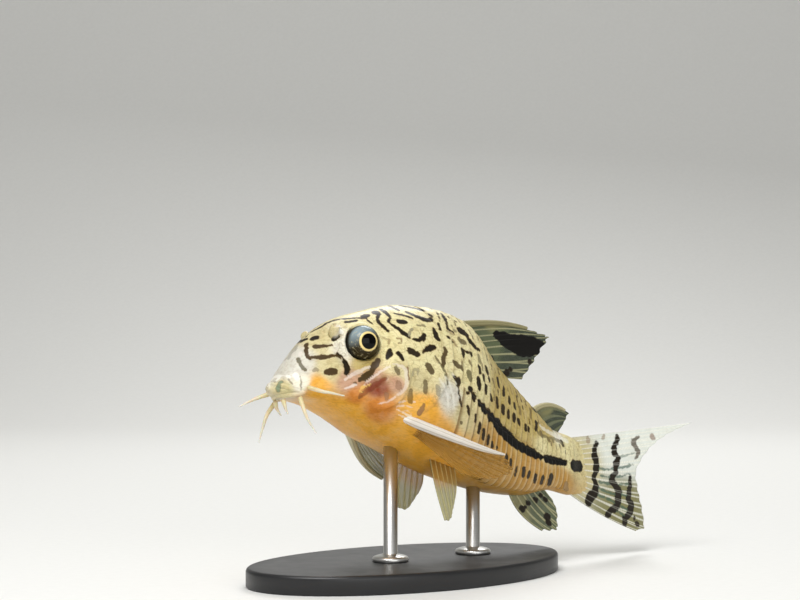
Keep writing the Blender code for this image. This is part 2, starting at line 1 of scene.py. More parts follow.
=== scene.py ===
"""Corydoras catfish on its display stand: skin, scutes, fins, barbels, eyes, materials and lights.

Shapes are worked out on the straight fish in millimetres (x from the snout back, y to the fish's right,
z up) and then posed into the row frame in metres. Markings are strokes placed by photo pixel on the left
side of the body and mirrored to the right.
"""

from __future__ import annotations

import logging
import math
from collections.abc import Callable
from dataclasses import dataclass
from enum import Enum
from functools import partial

import bpy
import numpy as np
from bpy.types import Material, Node, NodeSocket, NodeTree, Object
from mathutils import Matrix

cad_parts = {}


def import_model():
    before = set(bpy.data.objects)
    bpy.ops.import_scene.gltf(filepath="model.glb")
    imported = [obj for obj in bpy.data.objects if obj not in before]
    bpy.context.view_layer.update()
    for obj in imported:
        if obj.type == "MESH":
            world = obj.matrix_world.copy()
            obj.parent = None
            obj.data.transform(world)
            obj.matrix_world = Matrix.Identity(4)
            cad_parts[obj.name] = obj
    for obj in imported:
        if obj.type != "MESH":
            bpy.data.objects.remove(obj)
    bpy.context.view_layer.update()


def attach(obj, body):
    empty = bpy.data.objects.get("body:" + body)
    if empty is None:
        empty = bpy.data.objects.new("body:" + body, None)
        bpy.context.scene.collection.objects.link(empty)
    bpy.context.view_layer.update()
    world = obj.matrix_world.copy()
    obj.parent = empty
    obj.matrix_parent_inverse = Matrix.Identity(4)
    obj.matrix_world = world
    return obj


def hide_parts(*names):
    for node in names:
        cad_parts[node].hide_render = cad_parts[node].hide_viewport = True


LOG = logging.getLogger("corydoras")
MM = 0.001
Mesh = tuple[np.ndarray, list]  # points and faces


class Side(Enum):
    """Side of the fish, with the sign of y there."""

    LEFT = -1.0
    RIGHT = 1.0

    def flip(self, points: np.ndarray) -> np.ndarray:
        """Mirrors points given for the right side if this is the left one."""
        return np.asarray(points, float) * np.array((1.0, self.value, 1.0))


def linear(colour: str) -> tuple[float, float, float, float]:
    """Linear RGBA of an sRGB hex colour such as "#d9cfa0".

    Args:
        colour: The sRGB hex colour.

    Returns:
        Linear red, green and blue, and 1.
    """
    parts = [int(colour[i : i + 2], 16) / 255 for i in (1, 3, 5)]
    values = [p / 12.92 if p <= 0.04045 else ((p + 0.055) / 1.055) ** 2.4 for p in parts]
    return (values[0], values[1], values[2], 1.0)


def smoothstep(low: float, high: float, value: np.ndarray) -> np.ndarray:
    """0 below low, 1 above high and a smooth S between them."""
    t = np.clip((value - low) / (high - low), 0.0, 1.0)
    return t * t * (3 - 2 * t)


def monotone(knots: np.ndarray, at: np.ndarray) -> np.ndarray:
    """Monotone cubic through rows of (place, values...), read at each place.

    Args:
        knots: Rows of a place and its values, places rising.
        at: Places to read.

    Returns:
        The values at each place.
    """
    x, y = knots[:, 0], knots[:, 1:]
    step = np.diff(x)[:, None]
    slope = np.diff(y, axis=0) / step
    tangent = np.zeros_like(y)
    tangent[0], tangent[-1] = slope[0], slope[-1]
    before, after = slope[:-1], slope[1:]
    same = before * after > 0
    w1, w2 = 2 * step[1:] + step[:-1], step[1:] + 2 * step[:-1]
    bottom = np.where(same, w1 * after + w2 * before, 1.0)
    tangent[1:-1] = np.where(same, (w1 + w2) * before * after / bottom, 0.0)
    at = np.clip(np.asarray(at, float), x[0], x[-1])
    i = np.clip(np.searchsorted(x, at, side="right") - 1, 0, len(x) - 2)
    h, t = step[i], ((at - x[i]) / step[i, 0])[..., None]
    ends = (1 + 2 * t) * (1 - t) ** 2 * y[i] + t * t * (3 - 2 * t) * y[i + 1]
    return ends + h * (t * (1 - t) ** 2 * tangent[i] + t * t * (t - 1) * tangent[i + 1])


def through(points: np.ndarray, share: np.ndarray) -> np.ndarray:
    """Points at shares of the way along a smooth line through a few points.

    Args:
        points: The few points, in order.
        share: Shares from 0 to 1.

    Returns:
        A point for each share.
    """
    points = np.asarray(points, float)
    if len(points) == 1:
        return np.broadcast_to(points[0], (*np.shape(share), points.shape[1]))
    lengths = np.linalg.norm(np.diff(points, axis=0), axis=1)
    place = np.concatenate([[0.0], np.cumsum(lengths)]) / max(lengths.sum(), 1e-9)
    return monotone(np.column_stack([place, points]), share)


def unit(vectors: np.ndarray) -> np.ndarray:
    """The vectors at length one."""
    return vectors / np.maximum(np.linalg.norm(vectors, axis=-1, keepdims=True), 1e-12)


@dataclass(frozen=True)
class Trunk:
    """The smooth trunk: superellipse sections between a top and a bottom line.

    A station is x, the top, the bottom, half the width and the height where the section is widest.
    """

    stations: tuple = (
        (-0.6, -5.0, -5.5, 0.3, -5.25),
        (0.0, -4.2, -5.9, 1.2, -5.1),
        (1.0, -1.9, -6.0, 2.2, -4.7),
        (3.0, 2.0, -5.7, 3.2, -4.2),
        (6.0, 5.4, -5.4, 4.4, -3.5),
        (10.0, 8.0, -5.9, 5.4, -3.0),
        (16.0, 11.0, -7.2, 6.7, -2.8),
        (25.0, 13.2, -7.8, 6.2, -2.4),
        (33.0, 10.2, -7.3, 4.4, -1.6),
        (41.0, 6.9, -6.0, 2.7, -0.6),
        (47.0, 4.2, -4.1, 1.6, 0.0),
        (50.0, 4.0, -4.2, 1.2, 0.0),
        (51.0, 3.8, -4.0, 0.8, 0.0),
        (52.4, 3.5, -3.7, 0.42, 0.0),
        (54.2, 2.6, -2.8, 0.10, 0.0),
    )
    back_power: float = 2.0
    belly_power: float = 2.5

    def point(self, x: np.ndarray, angle: np.ndarray) -> np.ndarray:
        """Surface points at x and section angle in degrees: 0 right, 90 back, 180 left, 270 belly.

        y = w cos(a)^(2/p) and z = m + r sin(a)^(2/p), signs kept, with w, m and r read from the stations.

        Args:
            x: Places along the fish.
            angle: Section angles.

        Returns:
            Points on the trunk.
        """
        x, angle = np.broadcast_arrays(np.asarray(x, float), np.radians(angle))
        top, bottom, half, widest = np.moveaxis(monotone(np.array(self.stations), x), -1, 0)
        c, s = np.cos(angle), np.sin(angle)
        power = 2 / np.where(s >= 0, self.back_power, self.belly_power)
        reach = np.where(s >= 0, top - widest, widest - bottom)
        y = half * np.sign(c) * np.abs(c) ** power
        return np.stack([x, y, widest + reach * np.sign(s) * np.abs(s) ** power], -1)

    def normal(self, x: np.ndarray, angle: np.ndarray) -> np.ndarray:
        """Outward unit normals, from small steps along and round the trunk.

        Args:
            x: Places along the fish.
            angle: Section angles.

        Returns:
            A unit vector for each place.
        """
        along = self.point(x + 0.05, angle) - self.point(x - 0.05, angle)
        turn = self.point(x, angle + 0.5) - self.point(x, angle - 0.5)
        return unit(np.cross(turn, along))

    def back(self, x: float, depth: float) -> tuple[float, float, float]:
        """A point in the middle of the back, sunk by depth."""
        return (x, 0.0, float(self.point(x, 90.0)[2]) - depth)

    def belly(self, x: float, depth: float) -> tuple[float, float, float]:
        """A point in the middle of the underside, sunk by depth."""
        return (x, 0.0, float(self.point(x, 270.0)[2]) + depth)


@dataclass(frozen=True)
class Pose:
    """The swimming pose: an axis line with heading and slope in degrees, banked round itself."""

    heading: tuple = ((0, -4.0), (14, -4.0), (25, -0.5), (36, 0.0), (50, 3.5), (80, 3.5))
    slope: tuple = ((0, 18.0), (14, 18.0), (25, 26.0), (36, 19.3), (50, 12.6), (80, 12.6))
    bank: float = -11.2
    balance_x: float = 25.0
    balance_at: tuple = (4.5, 0.0, 21.0)
    reach: tuple = (-6.0, 80.0)  # the axis is worked out between these x
    steps: int = 431

    def place(self, points: np.ndarray) -> np.ndarray:
        """Straight points in millimetres to the row frame in metres.

        The point (x, y, z) goes to c(x) + y r(x) + z u(x), with c the axis and r, u its banked sides.

        Args:
            points: Points on the straight fish.

        Returns:
            The same points as they stand in the row frame.
        """
        shape = np.shape(points)
        points = np.asarray(points, float).reshape(-1, 3)
        x = np.linspace(*self.reach, self.steps)
        h = np.radians(monotone(np.array(self.heading, float), x)[:, 0])
        p = np.radians(monotone(np.array(self.slope, float), x)[:, 0])
        way = np.stack([np.cos(p) * np.cos(h), np.cos(p) * np.sin(h), -np.sin(p)], 1)
        axis = np.zeros_like(way)
        axis[1:] = np.cumsum((way[1:] + way[:-1]) / 2 * np.diff(x)[:, None], axis=0)
        start = np.array([np.interp(self.balance_x, x, axis[:, k]) for k in range(3)])
        axis = axis - start + np.array(self.balance_at)
        at = points[:, 0]
        centre = np.stack([np.interp(at, x, axis[:, k]) for k in range(3)], 1)
        h, p = np.interp(at, x, h), np.interp(at, x, p)
        way = np.stack([np.cos(p) * np.cos(h), np.cos(p) * np.sin(h), -np.sin(p)], 1)
        right = np.stack([-np.sin(h), np.cos(h), np.zeros_like(h)], 1)
        up = np.cross(way, right)
        bank = math.radians(self.bank)
        right, up = right * math.cos(bank) + up * math.sin(bank), up * math.cos(bank) - right * math.sin(bank)
        return ((centre + points[:, 1:2] * right + points[:, 2:3] * up) * MM).reshape(shape)


@dataclass(frozen=True)
class PhotoCamera:
    """The photo's camera, level, looking past the fish from its front left."""

    width: int = 800
    height: int = 600
    focal: float = 2080.0  # pixels
    sensor: float = 36.0
    turn: float = 38.0  # degrees clockwise from +Y, seen from above
    at: tuple = (-164.34, -208.94, 35.39)  # millimetres

    def axes(self) -> tuple[np.ndarray, np.ndarray]:
        """The picture's rightward direction and the direction of view."""
        a = math.radians(self.turn)
        return np.array((math.cos(a), -math.sin(a), 0.0)), np.array((math.sin(a), math.cos(a), 0.0))

    def pixels(self, points: np.ndarray) -> np.ndarray:
        """Photo pixels (right, down) of points in metres.

        Args:
            points: Points in the row frame.

        Returns:
            Pixels right of and below the top left corner.
        """
        right, forward = self.axes()
        away = np.asarray(points) / MM - np.array(self.at)
        depth = away @ forward
        u = self.width / 2 + self.focal * (away @ right) / depth
        return np.stack([u, self.height / 2 - self.focal * away[..., 2] / depth], -1)

    def build(self) -> Object:
        """Adds the camera and makes it the scene's own.

        Returns:
            The camera object.
        """
        data = bpy.data.cameras.new("photo_camera")
        data.sensor_width = self.sensor
        data.lens = self.focal * self.sensor / self.width
        data.clip_start, data.clip_end = 0.01, 10.0
        camera = bpy.data.objects.new("photo_camera", data)
        bpy.context.scene.collection.objects.link(camera)
        camera.location = [c * MM for c in self.at]
        camera.rotation_euler = (math.pi / 2, 0.0, -math.radians(self.turn))
        bpy.context.scene.camera = camera
        return camera


TRUNK = Trunk()
POSE = Pose()
CAMERA = PhotoCamera()
PIXELS_PER_MM = 7.75


class Tone(Enum):
    """Colours of the markings, as sRGB: mostly pigments; some strokes use them for painted highlights, glints
    and shade.
    """

    INK = "#0d0b08"
    BLACK = "#221b11"
    SOOT = "#2f2618"
    BROWN = "#46351b"
    FADED = "#8d7350"
    GREY = "#787667"
    OLIVE = "#4f4b2c"
    UMBER = "#84624a"
    GREENISH = "#5f7f68"
    TEAL = "#3a5f50"
    WHITE = "#f3f0e4"
    PEARL = "#e6dcd2"
    GOLD = "#e0b860"
    RED = "#6c260a"


@dataclass(frozen=True)
class Stroke:
    """A marking: photo pixels along its middle, its width there in pixels, and how strongly it covers."""

    name: str
    tone: Tone
    path: tuple[tuple[float, float], ...]
    width: tuple[float, ...]
    cover: float = 1.0


SNOUT_MARKS = (
    Stroke("brow_long", Tone.BLACK, ((312, 331.5), (320, 327.5), (327, 323), (335.5, 320), (346, 318.5),
           (358, 318), (365, 318), (368.5, 321), (373, 324)), (1.5, 1.7, 1.5)),
    Stroke("brow_spot", Tone.BLACK, ((362.5, 316.5), (365, 316), (368, 315)), (3, 4.2, 3)),
    Stroke("brow_short", Tone.BLACK, ((312.5, 329), (317, 326), (321.5, 323.5)), (1.4,)),
    Stroke("brow_dash", Tone.BLACK, ((345.5, 322), (351, 321.5), (357, 320.5)), (2.3,)),
    Stroke("nostril_ring", Tone.GREY, ((330, 332), (332.5, 328), (337, 326), (341, 327.5), (342, 332),
           (341, 334.5)), (1.1,), 0.8),
    Stroke("nostril_flap", Tone.WHITE, ((333, 330.5), (337, 329), (340.5, 331.5)), (4.5, 6, 4.5), 0.75),
    Stroke("under_nostril", Tone.BLACK, ((333, 340), (338, 336.5)), (3.8, 3.2)),
    Stroke("snout_dot", Tone.BLACK, ((313, 338.5), (316.5, 337.5)), (4,)),
    Stroke("far_dash", Tone.BLACK, ((302, 341), (306, 339)), (3, 2.4)),
    Stroke("far_line", Tone.BLACK, ((300.5, 337.5), (305.5, 335)), (1.4,)),
    Stroke("snout_hook", Tone.BROWN, ((306, 344.5), (306, 350.5), (307, 355), (310, 359)), (4, 4, 3)),
    Stroke("snout_band", Tone.BROWN, ((311, 357.5), (317, 357.5), (323, 357), (328, 357), (332.5, 355.5),
           (337, 355.5), (341, 358)), (3, 3.5, 5, 3.5, 3.2, 3.2, 2.4)),
    Stroke("band_tail", Tone.BLACK, ((337, 353.5), (342.5, 357.5), (346, 362)), (2,)),
    Stroke("band_end", Tone.BLACK, ((345.5, 363.5), (347, 368), (346.5, 373.5)), (5, 6.4, 5)),
    Stroke("snout_bead", Tone.BROWN, ((315, 346.5), (318.5, 346.5)), (4.2,)),
    Stroke("snout_bar", Tone.BROWN, ((320, 346), (325.5, 346), (331.5, 345)), (2.7, 3, 2.2)),
    Stroke("lip_bar", Tone.OLIVE, ((298.5, 359), (300.5, 363.5), (303, 368), (305, 370)), (5, 3.4, 3, 3.8),
           0.85),
    Stroke("honey_spot", Tone.BROWN, ((314.5, 370.8), (316.2, 368.8), (317.4, 370)), (3.6,), 0.5),
    Stroke("cheek_blot", Tone.BROWN, ((326, 372.3), (330, 371.5), (334.3, 371.3)), (4.6, 7.6, 6.6)),
    # painted shade along the edge of the snout
    Stroke("snout_edge_shade", Tone.GREY, ((297, 345), (295, 350), (290.5, 353.5), (288.5, 359.5)), (2,), 0.45),
    Stroke("muzzle_line", Tone.GREY, ((300, 376.5), (301, 381), (301, 390.5)), (1.5,), 0.7),
    # painted highlight on the muzzle
    Stroke("muzzle_shine", Tone.WHITE, ((296, 375.5), (297, 378)), (6.5,), 0.75),
    Stroke("muzzle_tick", Tone.GREY, ((288.5, 379.5), (292.5, 384)), (1.5,), 0.7),
    # painted highlight along the rim of the upper lip
    Stroke("lip_shine", Tone.WHITE, ((268, 388.5), (269.5, 382), (275, 377), (283, 375.5), (290, 377)),
           (1.6, 2.2, 2.4, 1.6), 0.62),
    Stroke("lip_dot", Tone.UMBER, ((274, 381), (275, 382)), (2.2,), 0.6),
    # painted shadow in the mouth
    Stroke("mouth_shade", Tone.GREENISH, ((280.5, 382.5), (278, 390.5)), (4.2,), 0.75),
    Stroke("cheek_dot", Tone.BROWN, ((354.5, 382.5), (355.5, 383.5)), (2.7,), 0.8),
    Stroke("cheek_streak", Tone.PEARL, ((345, 379.5), (352, 375), (360, 371), (370, 366.5)), (2.6, 4.4, 2),
           0.55),
    Stroke("jaw_streak", Tone.PEARL, ((345, 388.5), (351, 386.5), (356.5, 384.5)), (1.8,), 0.65),
    # painted highlight on the snout
    Stroke("snout_glow", Tone.PEARL, ((301, 353), (300, 356)), (3,), 0.5),
)

HEAD_MARKS = (
    Stroke("crown_a", Tone.BLACK, ((375.5, 312.5), (378.5, 314), (377.5, 318), (378.5, 321.5), (383, 326.5),
           (388, 331)), (4.5, 3.6, 3, 3, 3.4, 3)),
    Stroke("crown_b", Tone.BLACK, ((380, 309), (385, 312), (388.5, 315.5), (390, 318.5), (388.5, 321),
           (392.5, 325), (398, 328.5), (403, 332.5), (408.5, 336.5)),
           (1.9, 3.4, 3.8, 2.6, 2.3, 2.7, 3.4, 3.8, 3.6)),
    Stroke("crown_fork", Tone.GREY, ((408.5, 336.5), (410, 331.5), (412.5, 328.5)), (3.4, 3, 2), 0.75),
    Stroke("crown_c", Tone.BLACK, ((390, 306), (394, 308), (398.5, 310)), (2.1,)),
    Stroke("crown_d", Tone.BLACK, ((395, 313.5), (401.5, 315), (408, 316.5), (412.5, 318.5)), (1.7, 2, 1.7)),
    Stroke("crown_e", Tone.BLACK, ((401.5, 306), (408, 307), (415.5, 308.5), (422.5, 310.5)),
           (2.7, 2.9, 2.4)),
    Stroke("crown_f", Tone.BLACK, ((406.5, 312), (412.5, 314.5), (418.5, 317), (424.5, 319.5), (430, 320),
           (431.5, 316.5), (429, 315)), (2, 2.6, 3, 3.4, 3.8, 3, 2)),
    Stroke("crown_dot", Tone.BLACK, ((399, 321.5), (404.5, 322)), (4.2,)),
    Stroke("crown_faint", Tone.SOOT, ((417.5, 325), (424.5, 325.5)), (2.3,), 0.6),
    Stroke("nape_u", Tone.BLACK, ((413, 339.5), (418.5, 340.5), (422.5, 338.5), (424.5, 335)),
           (2, 4.2, 5.6, 5)),
    Stroke("nape_line", Tone.BLACK, ((433.5, 328.5), (435.5, 334), (437, 338), (439, 339)), (2.4, 4.6, 4, 3)),
    Stroke("nape_b", Tone.BLACK, ((437, 313.5), (439, 320), (438.5, 325), (440, 330)), (2.2,)),
    Stroke("nape_c", Tone.BLACK, ((441.5, 314.5), (444.5, 319), (446.5, 325), (447, 330), (450.5, 331.5),
           (453.5, 334.5)), (2, 2.2, 2.4, 2.7, 2.7)),
    Stroke("nape_faint", Tone.SOOT, ((451.5, 325.5), (453, 329.5), (455, 331.5)), (2,), 0.6),
    Stroke("nape_spot", Tone.SOOT, ((455, 322), (455, 324)), (3.4,), 0.85),
    Stroke("nape_dot", Tone.BLACK, ((448, 337), (448, 339)), (2.7,)),
    Stroke("nape_tick", Tone.BLACK, ((452, 341), (454.5, 343)), (1.7,)),
    Stroke("neck_flame", Tone.BLACK, ((423, 352.5), (428.5, 348.5), (434, 347)), (2.4, 6.5, 4.8)),
    Stroke("temple_bar", Tone.SOOT, ((410, 351), (414, 352.5), (419, 354.5)), (6, 6.2, 4.6)),
    Stroke("temple_ring", Tone.FADED, ((397, 338), (401.5, 338.5), (401.5, 342.5), (398.5, 343)), (1.5,),
           0.8),
    Stroke("eye_ring_mark", Tone.FADED, ((383.5, 338), (389.5, 340), (388.5, 344)), (1.5,), 0.6),
    Stroke("behind_eye", Tone.BLACK, ((390, 350), (389, 354.5), (387, 358.5)), (3.8, 7, 3.4)),
    Stroke("behind_eye_b", Tone.BLACK, ((398.5, 353), (402.5, 358.5)), (4.4, 4)),
    Stroke("cheek_bar", Tone.BROWN, ((378.5, 359.5), (376, 363.5), (372.5, 369), (369, 374), (364, 377.5),
           (360, 380)), (5, 7.5, 5.6, 7.4, 7.4, 4.4)),
    Stroke("gill_spot", Tone.BROWN, ((396, 367.5), (398.5, 373)), (4.2,), 0.75),
    # painted shadow along the rear edge of the gill cover
    Stroke("gill_rear", Tone.UMBER, ((408, 367), (408, 374.5), (409, 380.5)), (1.9,), 0.8),
    Stroke("gill_loop", Tone.GREY, ((412.5, 374.5), (414, 369), (418.5, 369), (417.5, 374.5)), (2.3,), 0.5),
    Stroke("shoulder_drop", Tone.BROWN, ((428, 365.5), (431.5, 371.5)), (6, 5.4), 0.9),
    Stroke("shoulder_low", Tone.BROWN, ((425.5, 382), (425.5, 391)), (4.6,), 0.72),
    Stroke("shoulder_grey", Tone.GREY, ((438, 387.5), (438.5, 393)), (4.6,), 0.55),
    Stroke("gill_corner", Tone.BROWN, ((411, 390), (410, 395.5), (410, 400.5)), (2.7, 5.4, 5.4), 0.68),
    Stroke("rust_spot", Tone.UMBER, ((424, 404.5), (422, 409), (419.5, 413)), (2.7, 4.6, 5), 0.8),
    Stroke("gill_faded", Tone.UMBER, ((386.5, 395), (386.5, 399)), (4.6,), 0.6),
    Stroke("gill_cloud", Tone.UMBER, ((398.5, 384.5), (399, 387.5)), (6.4,), 0.55),
    # painted shade in the crease along the shoulder
    Stroke("shoulder_crease_shade", Tone.OLIVE, ((435.5, 357), (441.5, 366), (445.5, 374.5), (448.5, 384.5)),
           (1.7,), 0.8),
    Stroke("shoulder_line", Tone.BROWN, ((444.5, 348), (445.5, 351.5), (443.5, 357.5), (443, 365.5)),
           (3, 4.2, 4.6, 3.4), 0.95),
    # painted highlights: silvery light streaking down the shoulder
    Stroke("shoulder_shine_a", Tone.WHITE, ((440, 379), (445, 388), (447.5, 398), (448, 407)),
           (1.6, 2, 1.2), 0.42),
    Stroke("shoulder_shine_b", Tone.WHITE, ((446, 377), (451, 388), (453.5, 399), (454, 410)),
           (1.2, 1.8, 1.2), 0.42),
    Stroke("shoulder_shine_c", Tone.WHITE, ((452, 372), (456, 384), (458, 396)), (1.4, 1.4, 1), 0.35),
    # painted highlights on the breast
    Stroke("breast_shine_a", Tone.PEARL, ((399, 402.5), (407, 401), (415, 402)), (1.4,), 0.55),
    Stroke("breast_shine_b", Tone.PEARL, ((397, 406.5), (405, 405.5), (412, 407.5)), (1.4,), 0.5),
    Stroke("breast_shine_c", Tone.PEARL, ((401, 411.5), (407, 411), (411, 413.5)), (1.2,), 0.45),
    Stroke("gill_red", Tone.RED, ((361.5, 395.5), (369, 389.5), (378, 383.5), (386, 378)), (4.5, 6, 6, 3),
           0.62),
    Stroke("spine_root_a", Tone.WHITE, ((397, 409.5), (404, 413), (411, 417.5)), (1, 2.4, 3), 0.55),
    Stroke("spine_root_b", Tone.WHITE, ((399, 415), (405, 417.5), (411, 421)), (0.8, 1.6, 2), 0.5),
    Stroke("gill_border", Tone.PEARL, ((364, 384.5), (371, 379), (380, 372), (390, 366)),
           (1.2, 2.4, 2.4, 1.6), 0.55),
    Stroke("gill_dark", Tone.BROWN, ((359.5, 397.5), (363, 393), (368, 390)), (2.6, 3.4, 2), 0.6),
    # painted gold glints on the gill cover
    Stroke("gill_glint_a", Tone.GOLD, ((360, 390.5), (362, 387.5), (365.5, 386)), (2.2, 2.4, 1.8), 0.8),
    Stroke("gill_glint_b", Tone.GOLD, ((362, 392.5), (364, 391.5)), (1.8,), 0.75),
    Stroke("gill_glint_c", Tone.GOLD, ((367, 386.5), (370, 384.5)), (1.5,), 0.7),
    Stroke("gill_edge", Tone.PEARL, ((393, 364), (402, 366.5), (406.5, 373), (406.8, 382), (404.8, 389),
           (398, 394.8), (389, 401), (378, 404)), (1.6, 2.6, 3.2, 3.2, 2.8, 2.2, 1.6, 1), 0.46),
)

FLANK_MARKS = (
    Stroke("ridge_a", Tone.FADED, ((452.5, 340), (456, 345.5)), (2,), 0.7),
    Stroke("ridge_b", Tone.BROWN, ((459.5, 340.5), (464, 343)), (4.6,), 0.8),
    Stroke("plate_a", Tone.BROWN, ((454, 363), (460, 367), (463, 370.5)), (4.6, 3.6, 2.3), 0.9),
    Stroke("plate_b", Tone.SOOT, ((454, 376.5), (457, 383), (458.5, 391.5), (460, 399), (461, 406)),
           (3, 4.6, 3, 1.5, 2)),
    Stroke("plate_c", Tone.SOOT, ((463, 350.5), (463, 355.5)), (3.8, 3)),
    Stroke("plate_d", Tone.SOOT, ((466, 352), (471.5, 353.5), (471.5, 356)), (2.3,)),
    Stroke("plate_e", Tone.BROWN, ((469.5, 362), (471, 365)), (2.3,), 0.7),
    Stroke("plate_f", Tone.OLIVE, ((469, 373), (470, 378)), (4.6,), 0.8),
    Stroke("plate_g", Tone.BLACK, ((470.5, 389), (467, 393.5)), (6.2, 4)),
    Stroke("plate_h", Tone.BLACK, ((471.5, 393), (474, 399.5)), (3.8, 2.8)),
    Stroke("plate_i", Tone.SOOT, ((478.5, 356), (480, 362)), (2.7,), 0.6),
    Stroke("plate_j", Tone.SOOT, ((479, 367), (480, 371.5)), (3,)),
    Stroke("plate_k", Tone.SOOT, ((486, 367.5), (487.5, 373)), (2.7,)),
    Stroke("plate_l", Tone.SOOT, ((483.5, 376), (484, 380)), (2.3,)),
    Stroke("plate_m", Tone.BLACK, ((478.5, 379), (479, 383.5), (479.5, 389.5)), (3.4, 4.6, 2)),
    Stroke("plate_n", Tone.SOOT, ((486, 386), (486, 393)), (2.7,)),
    Stroke("plate_o", Tone.SOOT, ((490.5, 395), (491.5, 399.5)), (2.7,)),
    Stroke("plate_p", Tone.SOOT, ((497.5, 380), (498.5, 385.5)), (3.2,)),
    Stroke("plate_q", Tone.SOOT, ((488.5, 378), (489, 382)), (2,)),
    Stroke("plate_r", Tone.BROWN, ((492.5, 379), (494, 386.5)), (1.8,), 0.6),
    Stroke("plate_s", Tone.SOOT, ((497, 399), (497.5, 406.5)), (2.7,)),
    Stroke("plate_t", Tone.SOOT, ((503, 406.5), (503, 412.5)), (3.2,)),
    Stroke("plate_u", Tone.SOOT, ((504, 388.5), (503.5, 395)), (3.1,)),
    Stroke("plate_v", Tone.SOOT, ((509, 398.5), (509.5, 403)), (2.9,)),
    Stroke("plate_w", Tone.SOOT, ((508.5, 411), (508.5, 417)), (2.7,)),
    Stroke("plate_x", Tone.SOOT, ((514, 404.5), (514.5, 408)), (2.5,)),
    Stroke("plate_y", Tone.SOOT, ((514, 415.5), (514, 420.5)), (3.1,)),
    Stroke("plate_z", Tone.SOOT, ((518.5, 420), (519, 423.5)), (2.5,)),
    Stroke("rear_a", Tone.BROWN, ((519.5, 408), (520, 413.5)), (2.5,), 0.6),
    Stroke("rear_b", Tone.SOOT, ((525.5, 426), (525.5, 429.5)), (2.7,)),
    Stroke("rear_c", Tone.SOOT, ((528.5, 428), (528.5, 430.5)), (2.2,)),
    Stroke("rear_d", Tone.BLACK, ((534, 406.5), (534, 410)), (4,)),
    Stroke("rear_e", Tone.BROWN, ((544, 409), (545, 412)), (3,), 0.6),
    Stroke("rear_f", Tone.BROWN, ((530.5, 410), (530.5, 417)), (2.7,), 0.6),
    Stroke("rear_g", Tone.SOOT, ((536.5, 422.5), (535.5, 429.5)), (3.1,)),
    Stroke("rear_h", Tone.BROWN, ((540.5, 433), (542.5, 436)), (3.1,), 0.7),
    Stroke("rear_i", Tone.BROWN, ((547, 437), (548.5, 439.5)), (2.7,), 0.7),
    Stroke("rear_j", Tone.SOOT, ((561, 440.5), (563, 445)), (2.7,), 0.9),
    Stroke("rear_k", Tone.BROWN, ((553, 440), (553, 441.5)), (2.2,), 0.6),
    # painted shade along the crest before the tail, and a painted highlight on the ridge above it
    Stroke("crest_shade", Tone.OLIVE, ((535.5, 430), (541, 434.5), (548, 437.5), (556, 439.5), (563, 444)),
           (2.2, 3, 2.6, 3, 2.6), 0.6),
    Stroke("crest_shine", Tone.WHITE, ((540, 426), (545, 430), (551, 433.5), (558, 437), (567, 441)),
           (2, 3, 3.2, 3.6, 3.6), 0.5),
    Stroke("saddle", Tone.BLACK, ((459, 330.5), (463, 332.5), (467, 335)), (4.6, 4.6, 3.6)),
    Stroke("saddle_line", Tone.BLACK, ((468, 339.5), (471.5, 343), (475, 347.5), (479, 350.5)), (3, 3, 2.4)),
    Stroke("saddle_faint", Tone.FADED, ((447, 331.5), (452.5, 334)), (3,), 0.6),
    Stroke("midline", Tone.INK, ((479, 402.5), (483, 409), (490.5, 418), (497.5, 426), (502, 431.5),
           (509.5, 437.5), (515.5, 443), (522.5, 447.5), (529, 451), (536, 454.5), (543, 457.5), (548.5, 459),
           (555.5, 461), (562, 462), (565.5, 462)),
           (3.4, 4.8, 4.8, 6.0, 6.8, 7.0, 7.2, 6.4, 6.0, 6.0, 5.2, 4.2, 6.2, 7.0, 4.8)),
    Stroke("tail_spot", Tone.INK, ((573.4, 465.8), (579.8, 466.3)), (11.4,)),
    Stroke("low_a", Tone.SOOT, ((467.5, 406.5), (469, 413.5)), (2.7,)),
    Stroke("low_b", Tone.SOOT, ((475.5, 415.5), (475.5, 421)), (2.6,)),
    Stroke("low_c", Tone.SOOT, ((480, 424.5), (478.5, 432)), (2.9,)),
    Stroke("low_d", Tone.SOOT, ((484, 430.5), (483, 438)), (3,)),
    Stroke("low_e", Tone.SOOT, ((488.5, 437), (487.5, 443.5)), (3,)),
    Stroke("low_f", Tone.SOOT, ((492, 443), (492, 446)), (2.8,)),
    Stroke("low_g", Tone.SOOT, ((497, 447), (497, 448.5)), (1.8,)),
    Stroke("low_h", Tone.SOOT, ((501, 456.5), (499.5, 460)), (3.1,)),
    Stroke("low_i", Tone.SOOT, ((506.5, 456.5), (505.5, 462.5)), (3.8,)),
    Stroke("low_j", Tone.SOOT, ((511, 461), (510, 466.5)), (3.4,)),
    Stroke("low_k", Tone.SOOT, ((517, 467), (514.5, 475)), (2.2,)),
    Stroke("low_l", Tone.SOOT, ((524, 469), (523, 475)), (3.6,)),
    Stroke("low_m", Tone.SOOT, ((529.5, 472.5), (528, 477)), (3.1,)),
    Stroke("low_n", Tone.SOOT, ((535.5, 476), (534.5, 481.5)), (3.1,)),
    Stroke("low_o", Tone.SOOT, ((542.5, 478), (541.5, 482.5)), (3.4,)),
    Stroke("low_p", Tone.SOOT, ((551, 477), (549.5, 482.5)), (4.5,)),
    Stroke("low_q", Tone.FADED, ((566.5, 485), (566, 489)), (5,), 0.7),
    Stroke("low_r", Tone.BROWN, ((461, 422), (461.5, 423.5)), (2.3,), 0.8),
    Stroke("fin_root_mark", Tone.BROWN, ((441, 444), (444, 447)), (2.3,), 0.7),
)

